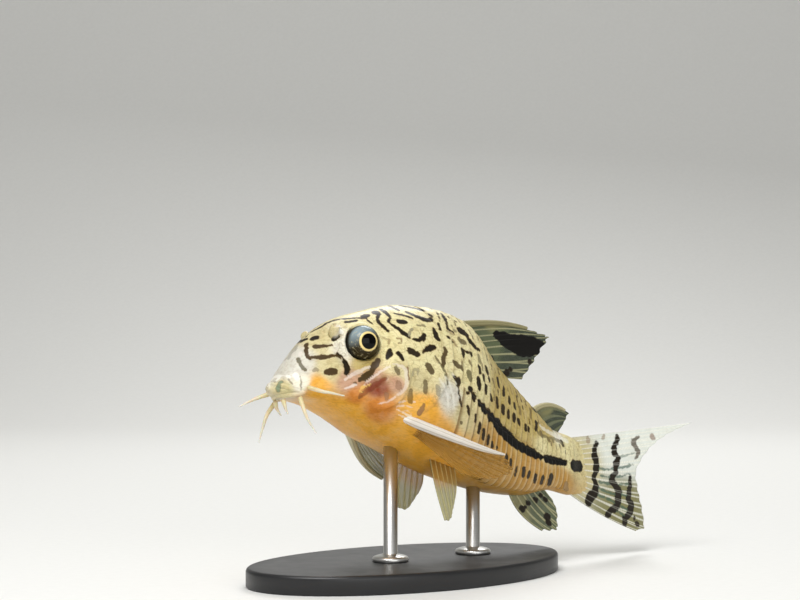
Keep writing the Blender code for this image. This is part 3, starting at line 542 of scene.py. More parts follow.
FIN_MARKS = {
    "fin_caudal": (
        Stroke("bar_one", Tone.BLACK, ((596.5, 443.5), (594.5, 449), (594, 455), (596, 460.5), (596, 466),
               (595, 472), (593, 477.5), (595.5, 485.5), (595, 491), (590.5, 496.5), (587.5, 502.5)),
               (3.6, 5, 5.6, 5, 6, 4.2, 4, 6.4, 7, 9.6, 7)),
        Stroke("bar_two", Tone.BLACK, ((617, 435.5), (617, 440), (613.5, 446.5), (614.5, 453.5), (618, 458),
               (616, 464), (615.5, 472), (611.5, 479.5), (618, 491), (618, 499), (616.5, 506.5), (610, 511.5),
               (606.5, 516)), (3, 4.4, 5.4, 4.6, 6, 4.6, 6.2, 5.6, 7.2, 6.6, 6.4, 6.4, 5)),
        Stroke("bar_three_top", Tone.BROWN, ((638, 437), (633.5, 442), (635, 447), (637.5, 452), (636, 458)),
               (2.6, 5, 4.8, 4.4, 2.6), 0.85),
        # painted dark between the rays, for the dark seen through the clear web
        Stroke("ray_gap_a", Tone.TEAL, ((619, 456.5), (627, 455), (635, 452.5)), (1.8,), 0.6),
        Stroke("bar_three", Tone.BLACK, ((630, 475.5), (629.5, 485.5), (628.5, 499), (631, 506), (629, 513),
               (624.5, 519.5), (624, 524)), (2.6, 3.8, 4.6, 5.2, 6.6, 5.8, 4.6)),
        Stroke("root_spot", Tone.INK, ((573.4, 465.8), (579.8, 466.3)), (11.4,)),
        Stroke("far_dot", Tone.UMBER, ((652, 437), (653, 438)), (5,), 0.7),
        Stroke("edge_dot_a", Tone.SOOT, ((634.5, 517.5), (634.5, 519)), (2.7,)),
        Stroke("edge_dot_b", Tone.SOOT, ((636.5, 523.5), (637.5, 524.5)), (4.2,)),
        Stroke("faint_a", Tone.FADED, ((574.5, 441), (575.5, 447)), (3.1,), 0.6),
        Stroke("faint_b", Tone.FADED, ((587.5, 437.5), (588, 441)), (3.4,), 0.6),
        Stroke("faint_c", Tone.FADED, ((604, 435.5), (602, 439)), (2.7,), 0.6),
        Stroke("faint_d", Tone.FADED, ((579, 484), (579, 486)), (2.7,), 0.7),
        # painted dark between the rays, for the dark seen through the clear web
        Stroke("ray_gap_b", Tone.TEAL, ((599, 468.7), (608, 469), (617.5, 468), (625, 466.5),
               (632.5, 464.5)), (2.2,), 0.75),
        Stroke("ray_gap_c", Tone.TEAL, ((600, 475.3), (609, 476.7), (618, 476.5), (630, 473.5)), (2.2,),
               0.75),
        Stroke("ray_gap_d", Tone.TEAL, ((599, 482), (607, 483.5), (615, 484.3), (628, 484)), (2.2,), 0.75),
        Stroke("ray_gap_e", Tone.TEAL, ((599, 488.7), (607, 492), (615, 494), (628.5, 495.5)), (2.2,), 0.75),
        Stroke("ray_gap_f", Tone.TEAL, ((597.7, 494.7), (605, 498), (612.5, 501.5), (620, 506),
               (628.3, 510.7)), (2.2,), 0.75),
        Stroke("ray_gap_g", Tone.TEAL, ((612, 509), (619, 512.5), (625, 516.5)), (1.8,), 0.7),
    ),
    "fin_dorsal": (
        Stroke("flag", Tone.INK, ((495, 334.5), (501, 337), (508, 341), (520, 344.5), (532, 346), (540, 347)),
               (7, 12, 16, 19, 18, 14)),
        Stroke("flag_low", Tone.INK, ((513, 349), (522, 352), (531, 352.5)), (7, 10, 8)),
        Stroke("spot_a", Tone.BLACK, ((489.5, 359), (490.5, 360.5)), (6.4,)),
        Stroke("spot_b", Tone.BLACK, ((506, 372), (507, 373.5)), (6,)),
        Stroke("spot_c", Tone.BLACK, ((510, 368.5), (511, 369.5)), (4.4,)),
        Stroke("spot_d", Tone.BLACK, ((529, 361), (530, 362)), (3.8,)),
        Stroke("spot_e", Tone.BLACK, ((462.5, 332), (466, 334)), (3.8,)),
    ),
    "fin_anal": (
        Stroke("spot_a", Tone.BLACK, ((521.5, 508.5), (522.5, 509.5)), (5.4,)),
        Stroke("spot_b", Tone.BLACK, ((525, 507), (526, 507.5)), (3.8,)),
        Stroke("spot_c", Tone.BLACK, ((527, 502.5), (528, 503.5)), (4.6,)),
        Stroke("spot_d", Tone.BLACK, ((534.5, 499.5), (535.5, 500.5)), (4.6,)),
        Stroke("spot_e", Tone.BLACK, ((546.5, 516.5), (547.5, 517.5)), (5.8,)),
        Stroke("spot_f", Tone.BLACK, ((548, 522), (549, 523)), (5.4,)),
        Stroke("spot_g", Tone.BLACK, ((540, 494.5), (541, 495.5)), (3.4,)),
        Stroke("spot_h", Tone.BLACK, ((544.5, 499), (545.5, 500)), (3.8,)),
    ),
}


def closed_rings(rings: np.ndarray, first: np.ndarray, last: np.ndarray) -> Mesh:
    """Points and faces of a tube through rings of points, closed by a pole at each end.

    Args:
        rings: Rings of points, ring by ring.
        first: Pole before the first ring.
        last: Pole behind the last ring.

    Returns:
        Points and faces.
    """
    rows, columns, _ = rings.shape
    index = np.arange(rows * columns).reshape(rows, columns)
    ahead = np.roll(index, -1, axis=1)
    quads = np.stack([index[:-1], ahead[:-1], ahead[1:], index[1:]], -1).reshape(-1, 4)
    a, b = rows * columns, rows * columns + 1
    fans = [np.stack([ahead[0], index[0], np.full(columns, a)], -1)]
    fans.append(np.stack([index[-1], ahead[-1], np.full(columns, b)], -1))
    points = np.concatenate([rings.reshape(-1, 3), [first, last]])
    return points, quads.tolist() + np.concatenate(fans).tolist()


def tube(
    line: np.ndarray,
    radius: np.ndarray,
    sides: int = 20,
    flat: float = 1.0,
) -> Mesh:
    """A round tube along a line, with a half ball at each end.

    Ring i is c + r(cos t a + flat sin t b), with a and b square to the line; at the ends the radius falls
    as sqrt(1 - s^2) while the centre goes on by s times the radius.

    Args:
        line: Points of the centre line.
        radius: Radius at each point.
        sides: Points round the tube.
        flat: Share by which the tube is flattened upwards.

    Returns:
        Points and faces.
    """
    way = unit(np.gradient(line, axis=0))
    cap = np.sin(np.linspace(0.15, 1.0, 5) * math.pi / 2)[:-1]
    start = line[0] - way[0] * radius[0] * cap[::-1, None]
    end = line[-1] + way[-1] * radius[-1] * cap[:, None]
    round_off = np.sqrt(1 - cap**2)
    line = np.concatenate([start, line, end])
    radius = np.concatenate([radius[0] * round_off[::-1], radius, radius[-1] * round_off])
    way = np.concatenate([np.repeat(way[:1], 4, 0), way, np.repeat(way[-1:], 4, 0)])
    aside = unit(np.cross(way, (0.12, 0.2, 1.0)))
    other = np.cross(way, aside)
    turn = np.linspace(0, 2 * math.pi, sides, endpoint=False)[None, :, None]
    rings = line[:, None] + radius[:, None, None] * (
        np.cos(turn) * aside[:, None] + flat * np.sin(turn) * other[:, None]
    )
    return closed_rings(rings, rings[0].mean(axis=0), rings[-1].mean(axis=0))


def slab(front: np.ndarray, back: np.ndarray) -> Mesh:
    """Points and faces of the closed thin solid between two like grids of points.

    Args:
        front: Grid of points on one face.
        back: Grid of points on the other face, in the same order.

    Returns:
        Points and faces.
    """
    rows, columns, _ = front.shape
    index = np.arange(rows * columns).reshape(rows, columns)
    quads = np.stack([index[:-1, :-1], index[:-1, 1:], index[1:, 1:], index[1:, :-1]], -1).reshape(-1, 4)
    rim = np.concatenate([index[0], index[1:, -1], index[-1, -2::-1], index[-2:0:-1, 0]])
    after, other = np.roll(rim, -1), rows * columns
    sides = np.stack([rim, rim + other, after + other, after], -1)
    faces = np.concatenate([quads, quads[:, ::-1] + other, sides])
    return np.concatenate([front.reshape(-1, 3), back.reshape(-1, 3)]), faces.tolist()


def joined(parts: list[Mesh]) -> Mesh:
    """Several meshes as one set of points and faces.

    Args:
        parts: Points and faces of each mesh.

    Returns:
        Points and faces of all of them.
    """
    points, faces, count = [], [], 0
    for part_points, part_faces in parts:
        points.append(part_points)
        faces += [[i + count for i in face] for face in part_faces]
        count += len(part_points)
    return np.concatenate(points), faces


def volume(points: np.ndarray, faces: list) -> float:
    """Volume inside a closed mesh, negative where its faces point inwards.

    Args:
        points: The mesh's points.
        faces: Its faces.

    Returns:
        The volume in cubes of the points' unit.
    """
    triangles = np.array([(f[0], f[i], f[i + 1]) for f in faces for i in range(1, len(f) - 1)])
    a, b, c = (points[triangles[:, k]] for k in range(3))
    return float(np.einsum("ij,ij->i", a, np.cross(b, c)).sum() / 6)


def outward(points: np.ndarray, faces: list) -> list:
    """The faces, turned round if they point inwards."""
    return faces if volume(points, faces) > 0 else [face[::-1] for face in faces]


def add_piece(
    name: str,
    points: np.ndarray,
    faces: list,
    material: Material,
    nodes: tuple[str, ...] = (),
    values: dict[str, np.ndarray] | None = None,
    straight: bool = True,
) -> Object:
    """Adds one closed mesh as a piece of the model.

    Args:
        name: Name of the piece.
        points: Its points, in millimetres.
        faces: Its faces.
        material: Its finish.
        nodes: CAD nodes that it stands for.
        values: A number or a colour at each point, by attribute name.
        straight: Whether the points are on the straight fish and still have to be posed.

    Returns:
        The new object, at the origin.
    """
    world = POSE.place(points) if straight else points * MM
    mesh = bpy.data.meshes.new(name)
    mesh.from_pydata(world.tolist(), [], outward(world / MM, faces))
    for key, value in (values or {}).items():
        colour = np.ndim(value) == 2
        kind = "FLOAT_COLOR" if colour else "FLOAT"
        attribute = mesh.attributes.new(key, kind, "POINT")
        attribute.data.foreach_set("color" if colour else "value", np.asarray(value, np.float32).ravel())
    mesh.materials.append(material)
    mesh.shade_smooth()
    piece = bpy.data.objects.new(name, mesh)
    bpy.context.scene.collection.objects.link(piece)
    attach(piece, "root")
    if nodes:
        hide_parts(*nodes)
    LOG.info("%s: %d faces", name, len(mesh.polygons))
    return piece


PLUS = {"operation": "ADD"}
TIMES = {"operation": "MULTIPLY"}
BLEND = {"data_type": "RGBA"}
DARKEN = {"data_type": "RGBA", "blend_type": "MULTIPLY"}
SMOOTH = {"interpolation_type": "SMOOTHSTEP"}


def connect(node: Node, **inputs) -> None:
    """Gives a node's sockets their values and links.

    Args:
        node: The node.
        inputs: What goes into each socket, by its name with _ for a space, or by i and its number: a value,
            an output to link, or a node for its first output in use.
    """
    for key, value in inputs.items():
        numbered = key[0] == "i" and key[1:].isdigit()
        socket = node.inputs[int(key[1:])] if numbered else node.inputs[key.replace("_", " ")]
        if isinstance(value, Node):
            value = next(output for output in value.outputs if output.enabled)
        if isinstance(value, NodeSocket):
            node.id_data.links.new(value, socket)
        else:
            socket.default_value = value


def add_node(tree: NodeTree, kind: str, settings: dict | None = None, **inputs) -> Node:
    """Adds a shader node.

    Args:
        tree: Node tree of the material.
        kind: Blender's name for the node, without ShaderNode.
        settings: The node's own properties.
        inputs: Its sockets, as connect takes them.

    Returns:
        The node.
    """
    node = tree.nodes.new(f"ShaderNode{kind}")
    for key, value in (settings or {}).items():
        setattr(node, key, value)
    connect(node, **inputs)
    return node


def new_material(name: str) -> tuple[Material, Callable[..., Node], Node]:
    """A new material, add_node for its own tree, and its principled shader.

    Args:
        name: Name of the material.

    Returns:
        The material, the function and the shader.
    """
    material = bpy.data.materials.new(name)
    material.use_nodes = True
    tree = material.node_tree
    return material, partial(add_node, tree), tree.nodes["Principled BSDF"]


class Ground(Enum):
    """The few ground pigments that the fish is airbrushed with, as sRGB; a few washes use them for painted
    highlights and painted shade.
    """

    CREAM = "#ece7d4"
    STRAW = "#e4daa6"
    BUFF = "#d0c494"
    SILVER = "#d4d1c4"
    OCHRE = "#bda864"
    AMBER = "#eeae3c"
    ORANGE = "#cc8030"
    TAN = "#b88a3c"
    ROSE = "#c2987c"
    RUST = "#84340f"
    PALE = "#e8ece4"
    KHAKI = "#8c8858"
    REED = "#a49e6a"
    SAGE = "#586240"
    DARK_SAGE = "#343e28"


@dataclass(frozen=True)
class Wash:
    """An airbrushed patch of ground pigment: the photo pixel of its middle and its reach in pixels."""

    name: str
    at: tuple[float, float]
    reach: float
    pigment: Ground


BODY_WASHES = (
    Wash("crown", (390, 316), 26, Ground.STRAW),
    Wash("forehead", (324, 338), 12, Ground.BUFF),
    Wash("nostril", (336, 331), 4.5, Ground.CREAM),
    Wash("before_eye", (340, 347), 10, Ground.CREAM),
    Wash("snout", (296, 362), 12, Ground.SILVER),
    Wash("mouth", (284, 388), 5, Ground.BUFF),
    Wash("lip", (303, 382), 6, Ground.CREAM),
    Wash("cheek", (332, 366), 10, Ground.BUFF),
    Wash("cheek_flush", (348, 379), 8, Ground.ROSE),
    # painted shade under the eye
    Wash("under_eye", (365, 362), 8, Ground.OCHRE),
    Wash("jaw", (318, 388), 8, Ground.AMBER),
    Wash("throat", (342, 416), 18, Ground.AMBER),
    Wash("gill_front", (356, 396), 6, Ground.ORANGE),
    Wash("gill", (377, 387), 7, Ground.RUST),
    Wash("gill_fold", (372, 374), 6, Ground.ROSE),
    Wash("gill_rear", (397, 384), 5, Ground.ROSE),
    Wash("gill_top", (402, 368), 6, Ground.BUFF),
    Wash("under_gill", (377, 411), 9, Ground.ORANGE),
    Wash("side", (418, 350), 20, Ground.STRAW),
    Wash("behind_gill", (420, 380), 9, Ground.BUFF),
    Wash("breast", (424, 410), 11, Ground.AMBER),
    # painted highlight: silver where the light falls on the shoulder
    Wash("shoulder", (450, 396), 9, Ground.SILVER),
    Wash("flank_front", (472, 372), 16, Ground.STRAW),
    Wash("flank_low", (466, 415), 9, Ground.BUFF),
    Wash("flank_middle", (508, 408), 16, Ground.OCHRE),
    Wash("flank_under", (495, 456), 13, Ground.TAN),
    Wash("rear_back", (538, 420), 12, Ground.OCHRE),
    Wash("rear_side", (543, 446), 7, Ground.STRAW),
    Wash("rear_under", (532, 478), 12, Ground.TAN),
    # painted highlight on the ridge before the tail
    Wash("rear_crest_highlight", (558, 437), 4, Ground.CREAM),
    Wash("tail_root", (568, 455), 9, Ground.STRAW),
    Wash("tail_under", (562, 482), 8, Ground.TAN),
    Wash("belly_front", (380, 442), 18, Ground.AMBER),
    Wash("belly_rear", (430, 456), 18, Ground.AMBER),
)

FIN_WASHES = {
    "fin_caudal": (
        Wash("upper_lobe", (635, 448), 24, Ground.PALE),
        Wash("root", (585, 466), 12, Ground.BUFF),
        Wash("lower_lobe", (622, 503), 18, Ground.KHAKI),
    ),
    "fin_dorsal": (
        Wash("leading", (490, 322), 6, Ground.KHAKI),
        # painted dark in the clear web, for the dark seen through it
        Wash("web", (482, 345), 12, Ground.SAGE),
        Wash("rear", (520, 368), 12, Ground.DARK_SAGE),
    ),
    "fin_adipose": (
        Wash("edge", (548, 408), 5, Ground.KHAKI),
        Wash("web", (556, 420), 8, Ground.DARK_SAGE),
    ),
    "fin_anal": (Wash("leading", (520, 510), 8, Ground.KHAKI), Wash("web", (540, 508), 10, Ground.SAGE)),
    "fin_pectoral_left": (Wash("web", (470, 462), 20, Ground.TAN),),
    "fin_pectoral_right": (Wash("web", (365, 452), 20, Ground.REED),),
    "fin_pelvic_left": (Wash("root", (436, 466), 12, Ground.TAN), Wash("tip", (446, 515), 16, Ground.REED)),
    "fin_pelvic_right": (Wash("root", (413, 466), 12, Ground.TAN), Wash("tip", (398, 502), 14, Ground.REED)),
}


def vertex_normals(points: np.ndarray, faces: list) -> np.ndarray:
    """Unit normals at the points, summed from the cross products of each face's diagonals.

    Args:
        points: The mesh's points.
        faces: Its faces of three or four points.

    Returns:
        A unit normal at each point.
    """
    total = np.zeros_like(points)
    for size in (3, 4):
        chosen = np.array([face for face in faces if len(face) == size], int).reshape(-1, size)
        a, b, c, d = (points[chosen[:, k % size]] for k in (0, 1, 2, 3))
        normal = np.cross(c - a, d - b) if size == 4 else np.cross(b - a, c - a)
        for k in range(size):
            np.add.at(total, chosen[:, k], normal)
    return unit(total)


class Canvas:
    """The surface that the camera sees, on which photo pixels are found."""

    margin: float = 25.0  # pixels round the sought ones that are looked through
    fewest: int = 8  # with fewer points there, all are looked through
    near: int = 4

    def __init__(self, points: np.ndarray, normals: np.ndarray | None = None) -> None:
        """Keeps the points that face the camera, or all of them where no normals are given.

        Args:
            points: Points on the straight fish.
            normals: Outward normals there.
        """
        world = POSE.place(points)
        if normals is not None:
            way = POSE.place(points + 0.01 * normals) - world
            away = world - np.array(CAMERA.at) * MM
            seen = np.einsum("ij,ij->i", way, away) < -1e-3 * MM * np.linalg.norm(away, axis=1)
            points, world = points[seen], world[seen]
        self.points = points
        self.seen_at = CAMERA.pixels(world)

    def find(self, pixels: np.ndarray) -> np.ndarray:
        """Straight-fish points at pixels, averaged from the four nearest by the inverse of their distance.

        Args:
            pixels: Photo pixels, right and down.

        Returns:
            A point for each pixel.
        """
        pixels = np.atleast_2d(np.asarray(pixels, float))
        close = self.seen_at > pixels.min(0) - self.margin
        close = (close & (self.seen_at < pixels.max(0) + self.margin)).all(1)
        if close.sum() < self.fewest:
            close[:] = True
        points, seen_at = self.points[close], self.seen_at[close]
        away = ((pixels[:, None] - seen_at[None]) ** 2).sum(-1)
        near = np.argpartition(away, self.near, axis=1)[:, : self.near]
        weight = 1 / (np.take_along_axis(away, near, 1) + 0.01)
        return (points[near] * weight[..., None]).sum(1) / weight.sum(1)[:, None]


@dataclass(frozen=True)
class Laid:
    """A stroke laid on the surface: its middle line and half its width there, in millimetres."""

    line: np.ndarray
    half: np.ndarray
    tone: Tone
    cover: float


@dataclass
class Paint:
    """Lays washes and strokes over a piece's points."""

    canvas: Canvas
    both_sides: bool = False
    reach: float = 1.0  # millimetres past a stroke where its distance is still kept
    weight: float = 1.04  # strokes are laid on this much wider than they are listed

    def folded(self, points: np.ndarray) -> np.ndarray:
        """The points with y positive, where both sides are painted alike."""
        return points * (1, 0, 1) + np.abs(points) * (0, 1, 0) if self.both_sides else points

    def ground(self, points: np.ndarray, washes: tuple[Wash, ...]) -> np.ndarray:
        """Linear RGBA at each point: the washes' colours, weighted by 1 / (0.3 + (distance / reach)^2)^3.

        Args:
            points: Points to colour.
            washes: The patches of ground pigment.

        Returns:
            Linear RGBA at each point.
        """
        at = self.folded(self.canvas.find(np.array([w.at for w in washes])))
        reach = np.array([w.reach for w in washes]) / PIXELS_PER_MM
        colours = np.array([linear(w.pigment.value) for w in washes])
        away = np.linalg.norm(self.folded(points)[:, None] - at[None], axis=-1) / reach
        weight = 1 / (0.3 + away**2) ** 3
        return (weight @ colours) / weight.sum(axis=1, keepdims=True)

    def laid(self, mark: Stroke) -> Laid:
        """A stroke laid on the surface.

        Half its width is half the distance on the surface between its two sides in the picture, square to
        its middle line, so that a stroke on a slanted surface is as wide as it looks.

        Args:
            mark: The stroke, in photo pixels.

        Returns:
            Its middle line and half width on the surface.
        """
        knots = np.array(mark.path, float)
        length = np.linalg.norm(np.diff(knots, axis=0), axis=1).sum()
        share = np.linspace(0, 1, max(int(length / 1.2), 3))
        path = through(knots, share)
        way = unit(np.gradient(path, axis=0))
        width = np.interp(share, np.linspace(0, 1, len(mark.width)), mark.width) * self.weight
        across = np.stack([-way[:, 1], way[:, 0]], -1) * width[:, None] / 2
        found = self.canvas.find(np.concatenate([path - across, path, path + across]))
        one, middle, other = np.split(found, 3)
        nominal = width / 2 / PIXELS_PER_MM
        along = unit(np.gradient(middle, axis=0))
        span = one - other
        span = span - (span * along).sum(1, keepdims=True) * along
        half = np.clip(np.linalg.norm(span, axis=1) / 2, nominal * 0.9, nominal * 2.0)
        fine = np.linspace(0, 1, max(int(length / 0.7), 3))
        line = self.folded(through(middle, fine))
        half = np.interp(fine, share, half)
        return Laid(line.astype(np.float32), half.astype(np.float32), mark.tone, mark.cover)

    def strokes(self, points: np.ndarray, marks: list[Laid]) -> tuple[np.ndarray, np.ndarray]:
        """Signed distance in millimetres to the nearest stroke's edge, and that stroke's tone and cover.

        The distance to a stroke is the least over its middle line of the distance there less half its width.

        Args:
            points: Points to mark.
            marks: The strokes laid there.

        Returns:
            The distance, and the tone's RGB with the cover as alpha, at each point.
        """
        points = self.folded(points).astype(np.float32)
        edge = np.full(len(points), self.reach, np.float32)
        tone = np.tile(np.array(linear(Tone.BLACK.value), np.float32), (len(points), 1))
        tone[:, 3] = 0
        for mark in marks:
            margin = self.reach + mark.half.max()
            low, high = mark.line.min(0) - margin, mark.line.max(0) + margin
            near = np.flatnonzero(((points > low) & (points < high)).all(1))
            if not len(near):
                continue
            away = np.linalg.norm(points[near][:, None] - mark.line[None], axis=-1) - mark.half
            away = away.min(1)
            closer = away < edge[near]
            edge[near[closer]] = away[closer]
            tone[near[closer]] = (*linear(mark.tone.value)[:3], mark.cover)
        return edge, tone


def per_mm(size: float) -> float:
    """Noise scale, in metres' coordinates, whose features are this many millimetres wide."""
    return 1 / (size * MM)


@dataclass(frozen=True)
class PaintedSkin:
    """Cast polyurethane resin, airbrushed and hand painted under a clear lacquer.

    Soft ground colours with a pearly mottle and a fine streak along the body, crisp pigment lines with
    slightly ragged edges, among them some painted highlights and painted shade, and small wet highlights
    from the lacquer. On the scutes, painted shade darkens each plate's sunk front edge and a painted
    highlight lightens its free rear rim.
    """

    name: str
    # whether to paint shade on each scute's sunk front edge and a highlight on its rear rim
    plates: bool = False
    mottle: float = 1.6  # millimetres
    grain: float = 0.22
    worm: float = 1.1
    ragged: float = 0.5
    pearl: str = "#f1ead0"
    shadow: str = "#b08f58"
    speckle: str = "#a3845a"
    vein: str = "#8a7442"
    halo: str = "#6b5128"
    # colours of the painted shade on the scutes' sunk front edges and the painted highlight on their rear
    # rims
    sunk_edge_shade: str = "#7d6230"
    free_rim_highlight: str = "#e6d0a2"

    def build(self) -> Material:
        """Makes the material.

        Returns:
            The material.
        """
        material, add, shader = new_material(self.name)
        where = add("TexCoord").outputs["Object"]
        tint = add("Attribute", {"attribute_name": "tint"}).outputs["Color"]
        mottle = add("TexNoise", Vector=where, Scale=per_mm(self.mottle), Detail=4.0)
        pearly = add("MapRange", Value=mottle, From_Min=0.45, From_Max=0.75, To_Max=0.13)
        pearl = add("Mix", BLEND, Factor=pearly, i6=tint, i7=linear(self.pearl))
        shade = add("MapRange", Value=mottle, From_Min=0.5, From_Max=0.25, To_Max=0.20)
        deep = add("Mix", DARKEN, Factor=shade, i6=pearl, i7=linear(self.shadow))
        drawn = add("Mapping", Vector=where, Scale=(0.28, 0.8, 1.0))
        grain = add("TexNoise", Vector=drawn, Scale=per_mm(self.grain), Detail=3.0)
        grainy = add("MapRange", Value=grain, From_Min=0.54, From_Max=0.34, To_Max=0.22)
        colour = add("Mix", DARKEN, Factor=grainy, i6=deep, i7=linear(self.speckle))
        worm = add("TexNoise", Vector=where, Scale=per_mm(self.worm), Detail=1.5, Distortion=0.6)
        off = add("Math", {"operation": "SUBTRACT"}, i0=worm, i1=0.5)
        line = add("Math", {"operation": "ABSOLUTE"}, i0=off)
        faint = add("MapRange", SMOOTH, Value=line, From_Min=0.035, From_Max=0.008, To_Max=0.32)
        where_lined = add("Attribute", {"attribute_name": "lined"}).outputs["Fac"]
        lined = add("Math", TIMES, i0=faint, i1=where_lined)
        colour = add("Mix", BLEND, Factor=lined, i6=colour, i7=linear(self.vein))
        # on scutes, painted shade on the sunk front edges and a painted highlight on the free rear rims
        if self.plates:
            colour = self.rim_shade_and_highlight(add, colour)
        ragged = add("TexNoise", Vector=where, Scale=per_mm(self.ragged), Detail=2.0)
        shift = add("MapRange", Value=ragged, From_Min=0.2, From_Max=0.8, To_Min=-0.12, To_Max=0.12)
        edge = add("Attribute", {"attribute_name": "mark"}).outputs["Fac"]
        moved = add("Math", PLUS, i0=edge, i1=shift)
        inside = add("MapRange", SMOOTH, Value=moved, From_Min=0.08, From_Max=-0.07)
        core = add("MapRange", SMOOTH, Value=moved, From_Min=0.04, From_Max=-0.16, To_Min=0.2)
        tone = add("Attribute", {"attribute_name": "tone"})
        cover = add("Math", TIMES, i0=inside, i1=tone.outputs["Alpha"])
        pigment = add("Mix", BLEND, Factor=core, i6=linear(self.halo), i7=tone.outputs["Color"])
        pale = add("SeparateColor", Color=tone.outputs["Color"])
        bright = add("Math", {"operation": "GREATER_THAN"}, i0=pale.outputs[1], i1=0.3)
        ink = add("Mix", BLEND, Factor=bright, i6=pigment, i7=tone.outputs["Color"])
        marked = add("Mix", BLEND, Factor=cover, i6=colour, i7=ink)
        rough = add("MapRange", Value=grain, From_Min=0.3, From_Max=0.7, To_Min=0.34, To_Max=0.50)
        bump = add("Bump", Height=grain, Strength=0.35, Distance=0.00004)
        connect(shader, Base_Color=marked, Roughness=rough, Normal=bump, Specular_IOR_Level=0.2,
                Coat_Weight=0.1, Coat_Roughness=0.16, Subsurface_Weight=0.12,
                Subsurface_Radius=(1.0, 0.55, 0.3), Subsurface_Scale=0.0006)
        return material

    def rim_shade_and_highlight(self, add: Callable[..., Node], colour: Node) -> Node:
        """Paints shade on each plate's sunk front edge and a highlight on its free rear rim.

        Args:
            add: Adds a node to the material.
            colour: Node of the ground colour.

        Returns:
            Node of the colour with the painted shade and highlight on the rims.
        """
        along = add("Attribute", {"attribute_name": "plate_v"}).outputs["Fac"]
        strength = add("Attribute", {"attribute_name": "rimmed"}).outputs["Fac"]
        # painted shade where the plate's front edge sinks under the plate before it
        front = add("MapRange", Value=along, From_Min=0.40, From_Max=0.10, To_Max=0.75)
        sunk = add("Math", TIMES, i0=front, i1=strength)
        dark = add("Mix", DARKEN, Factor=sunk, i6=colour, i7=linear(self.sunk_edge_shade))
        # painted highlight on the plate's raised rear rim
        rear = add("MapRange", Value=along, From_Min=0.66, From_Max=0.95, To_Max=0.42)
        raised = add("Math", TIMES, i0=rear, i1=strength)
        pale = add("Mix", BLEND, Factor=raised, i6=dark, i7=linear(self.free_rim_highlight))
        return pale


@dataclass(frozen=True)
class FinFilm:
    """Cast clear polyester film over resin rays, tinted: pale jointed rays in a smoky see-through web.

    The spine in front is plain resin, with fine lines along it.
    """

    name: str
    web: float = 0.55  # how much the web covers
    ray_colour: str = "#e6e2cc"
    ray_cover: float = 0.9
    joint: float = 0.6  # millimetres between the joints of a ray
    length: float = 12.0
    strength: float = 0.7
    ray_bare: float = 0.0  # how much of a marking the rays leave bare
    spine: str = "#c9c29a"
    smoke: float = 0.3
    cloud: float = 0.9  # millimetres
    ragged: float = 0.7
    haze: str = "#a9a98c"
    joint_colour: str = "#8f8b6c"
    spine_line: str = "#8c8468"

    def build(self) -> Material:
        """Makes the material.

        Returns:
            The material.
        """
        material, add, shader = new_material(self.name)
        where = add("TexCoord").outputs["Object"]
        tint = add("Attribute", {"attribute_name": "tint"}).outputs["Color"]
        ray = add("Attribute", {"attribute_name": "ray"}).outputs["Fac"]
        out = add("Attribute", {"attribute_name": "out"}).outputs["Fac"]
        cloud = add("TexNoise", Vector=where, Scale=per_mm(self.cloud), Detail=3.0)
        smoky = add("MapRange", Value=cloud, From_Min=0.3, From_Max=0.7, To_Max=self.smoke)
        web = add("Mix", DARKEN, Factor=smoky, i6=tint, i7=linear(self.haze))
        turns = add("Math", TIMES, i0=out, i1=2 * math.pi * self.length / self.joint)
        wave = add("Math", {"operation": "SINE"}, i0=turns)
        jointed = add("MapRange", Value=wave, From_Min=0.55, From_Max=0.95, To_Max=0.28)
        soft = add("MapRange", Value=ray, From_Min=1.5, From_Max=1.2)
        joints = add("Math", TIMES, i0=jointed, i1=soft)
        bone = add("Mix", DARKEN, Factor=joints, i6=linear(self.ray_colour), i7=linear(self.joint_colour))
        on_ray = add("MapRange", SMOOTH, Value=ray, From_Min=0.12, From_Max=0.75, To_Max=self.strength)
        rayed = add("Mix", BLEND, Factor=on_ray, i6=web, i7=bone)
        across = add("Attribute", {"attribute_name": "across"}).outputs["Fac"]
        round_it = add("Math", {"operation": "SINE"}, i0=across)
        lines = add("MapRange", Value=round_it, From_Min=0.4, From_Max=1.0, To_Max=0.45)
        spine = add("Mix", DARKEN, Factor=lines, i6=linear(self.spine), i7=linear(self.spine_line))
        on_spine = add("MapRange", Value=ray, From_Min=1.3, From_Max=1.6)
        colour = add("Mix", BLEND, Factor=on_spine, i6=rayed, i7=spine)
        edge = add("Attribute", {"attribute_name": "mark"}).outputs["Fac"]
        ragged = add("TexNoise", Vector=where, Scale=per_mm(self.ragged), Detail=3.0)
        shift = add("MapRange", Value=ragged, From_Min=0.3, From_Max=0.7, To_Min=-0.13, To_Max=0.13)
        moved = add("Math", PLUS, i0=edge, i1=shift)
        inside = add("MapRange", SMOOTH, Value=moved, From_Min=0.10, From_Max=-0.08)
        tone = add("Attribute", {"attribute_name": "tone"})
        bare = add("MapRange", Value=ray, From_Min=0.55, From_Max=0.95, To_Min=1.0,
                   To_Max=1 - self.ray_bare)
        full = add("Math", TIMES, i0=inside, i1=tone.outputs["Alpha"])
        cover = add("Math", TIMES, i0=full, i1=bare)
        marked = add("Mix", BLEND, Factor=cover, i6=colour, i7=tone.outputs["Color"])
        solid = add("MapRange", Value=ray, From_Min=0.1, From_Max=0.7, To_Min=self.web,
                    To_Max=self.ray_cover)
        root = add("MapRange", Value=out, From_Min=0.16, From_Max=0.0, To_Max=0.5)
        fuller = add("Math", {"operation": "MAXIMUM"}, i0=solid, i1=cover)
        alpha = add("Math", {"operation": "ADD", "use_clamp": True}, i0=fuller, i1=root)
        bump = add("Bump", Height=cloud, Strength=0.25, Distance=0.00005)
        connect(shader, Base_Color=marked, Alpha=alpha, Roughness=0.4, Specular_IOR_Level=0.22,
                Coat_Weight=0.05, Coat_Roughness=0.1, Normal=bump)
        return material


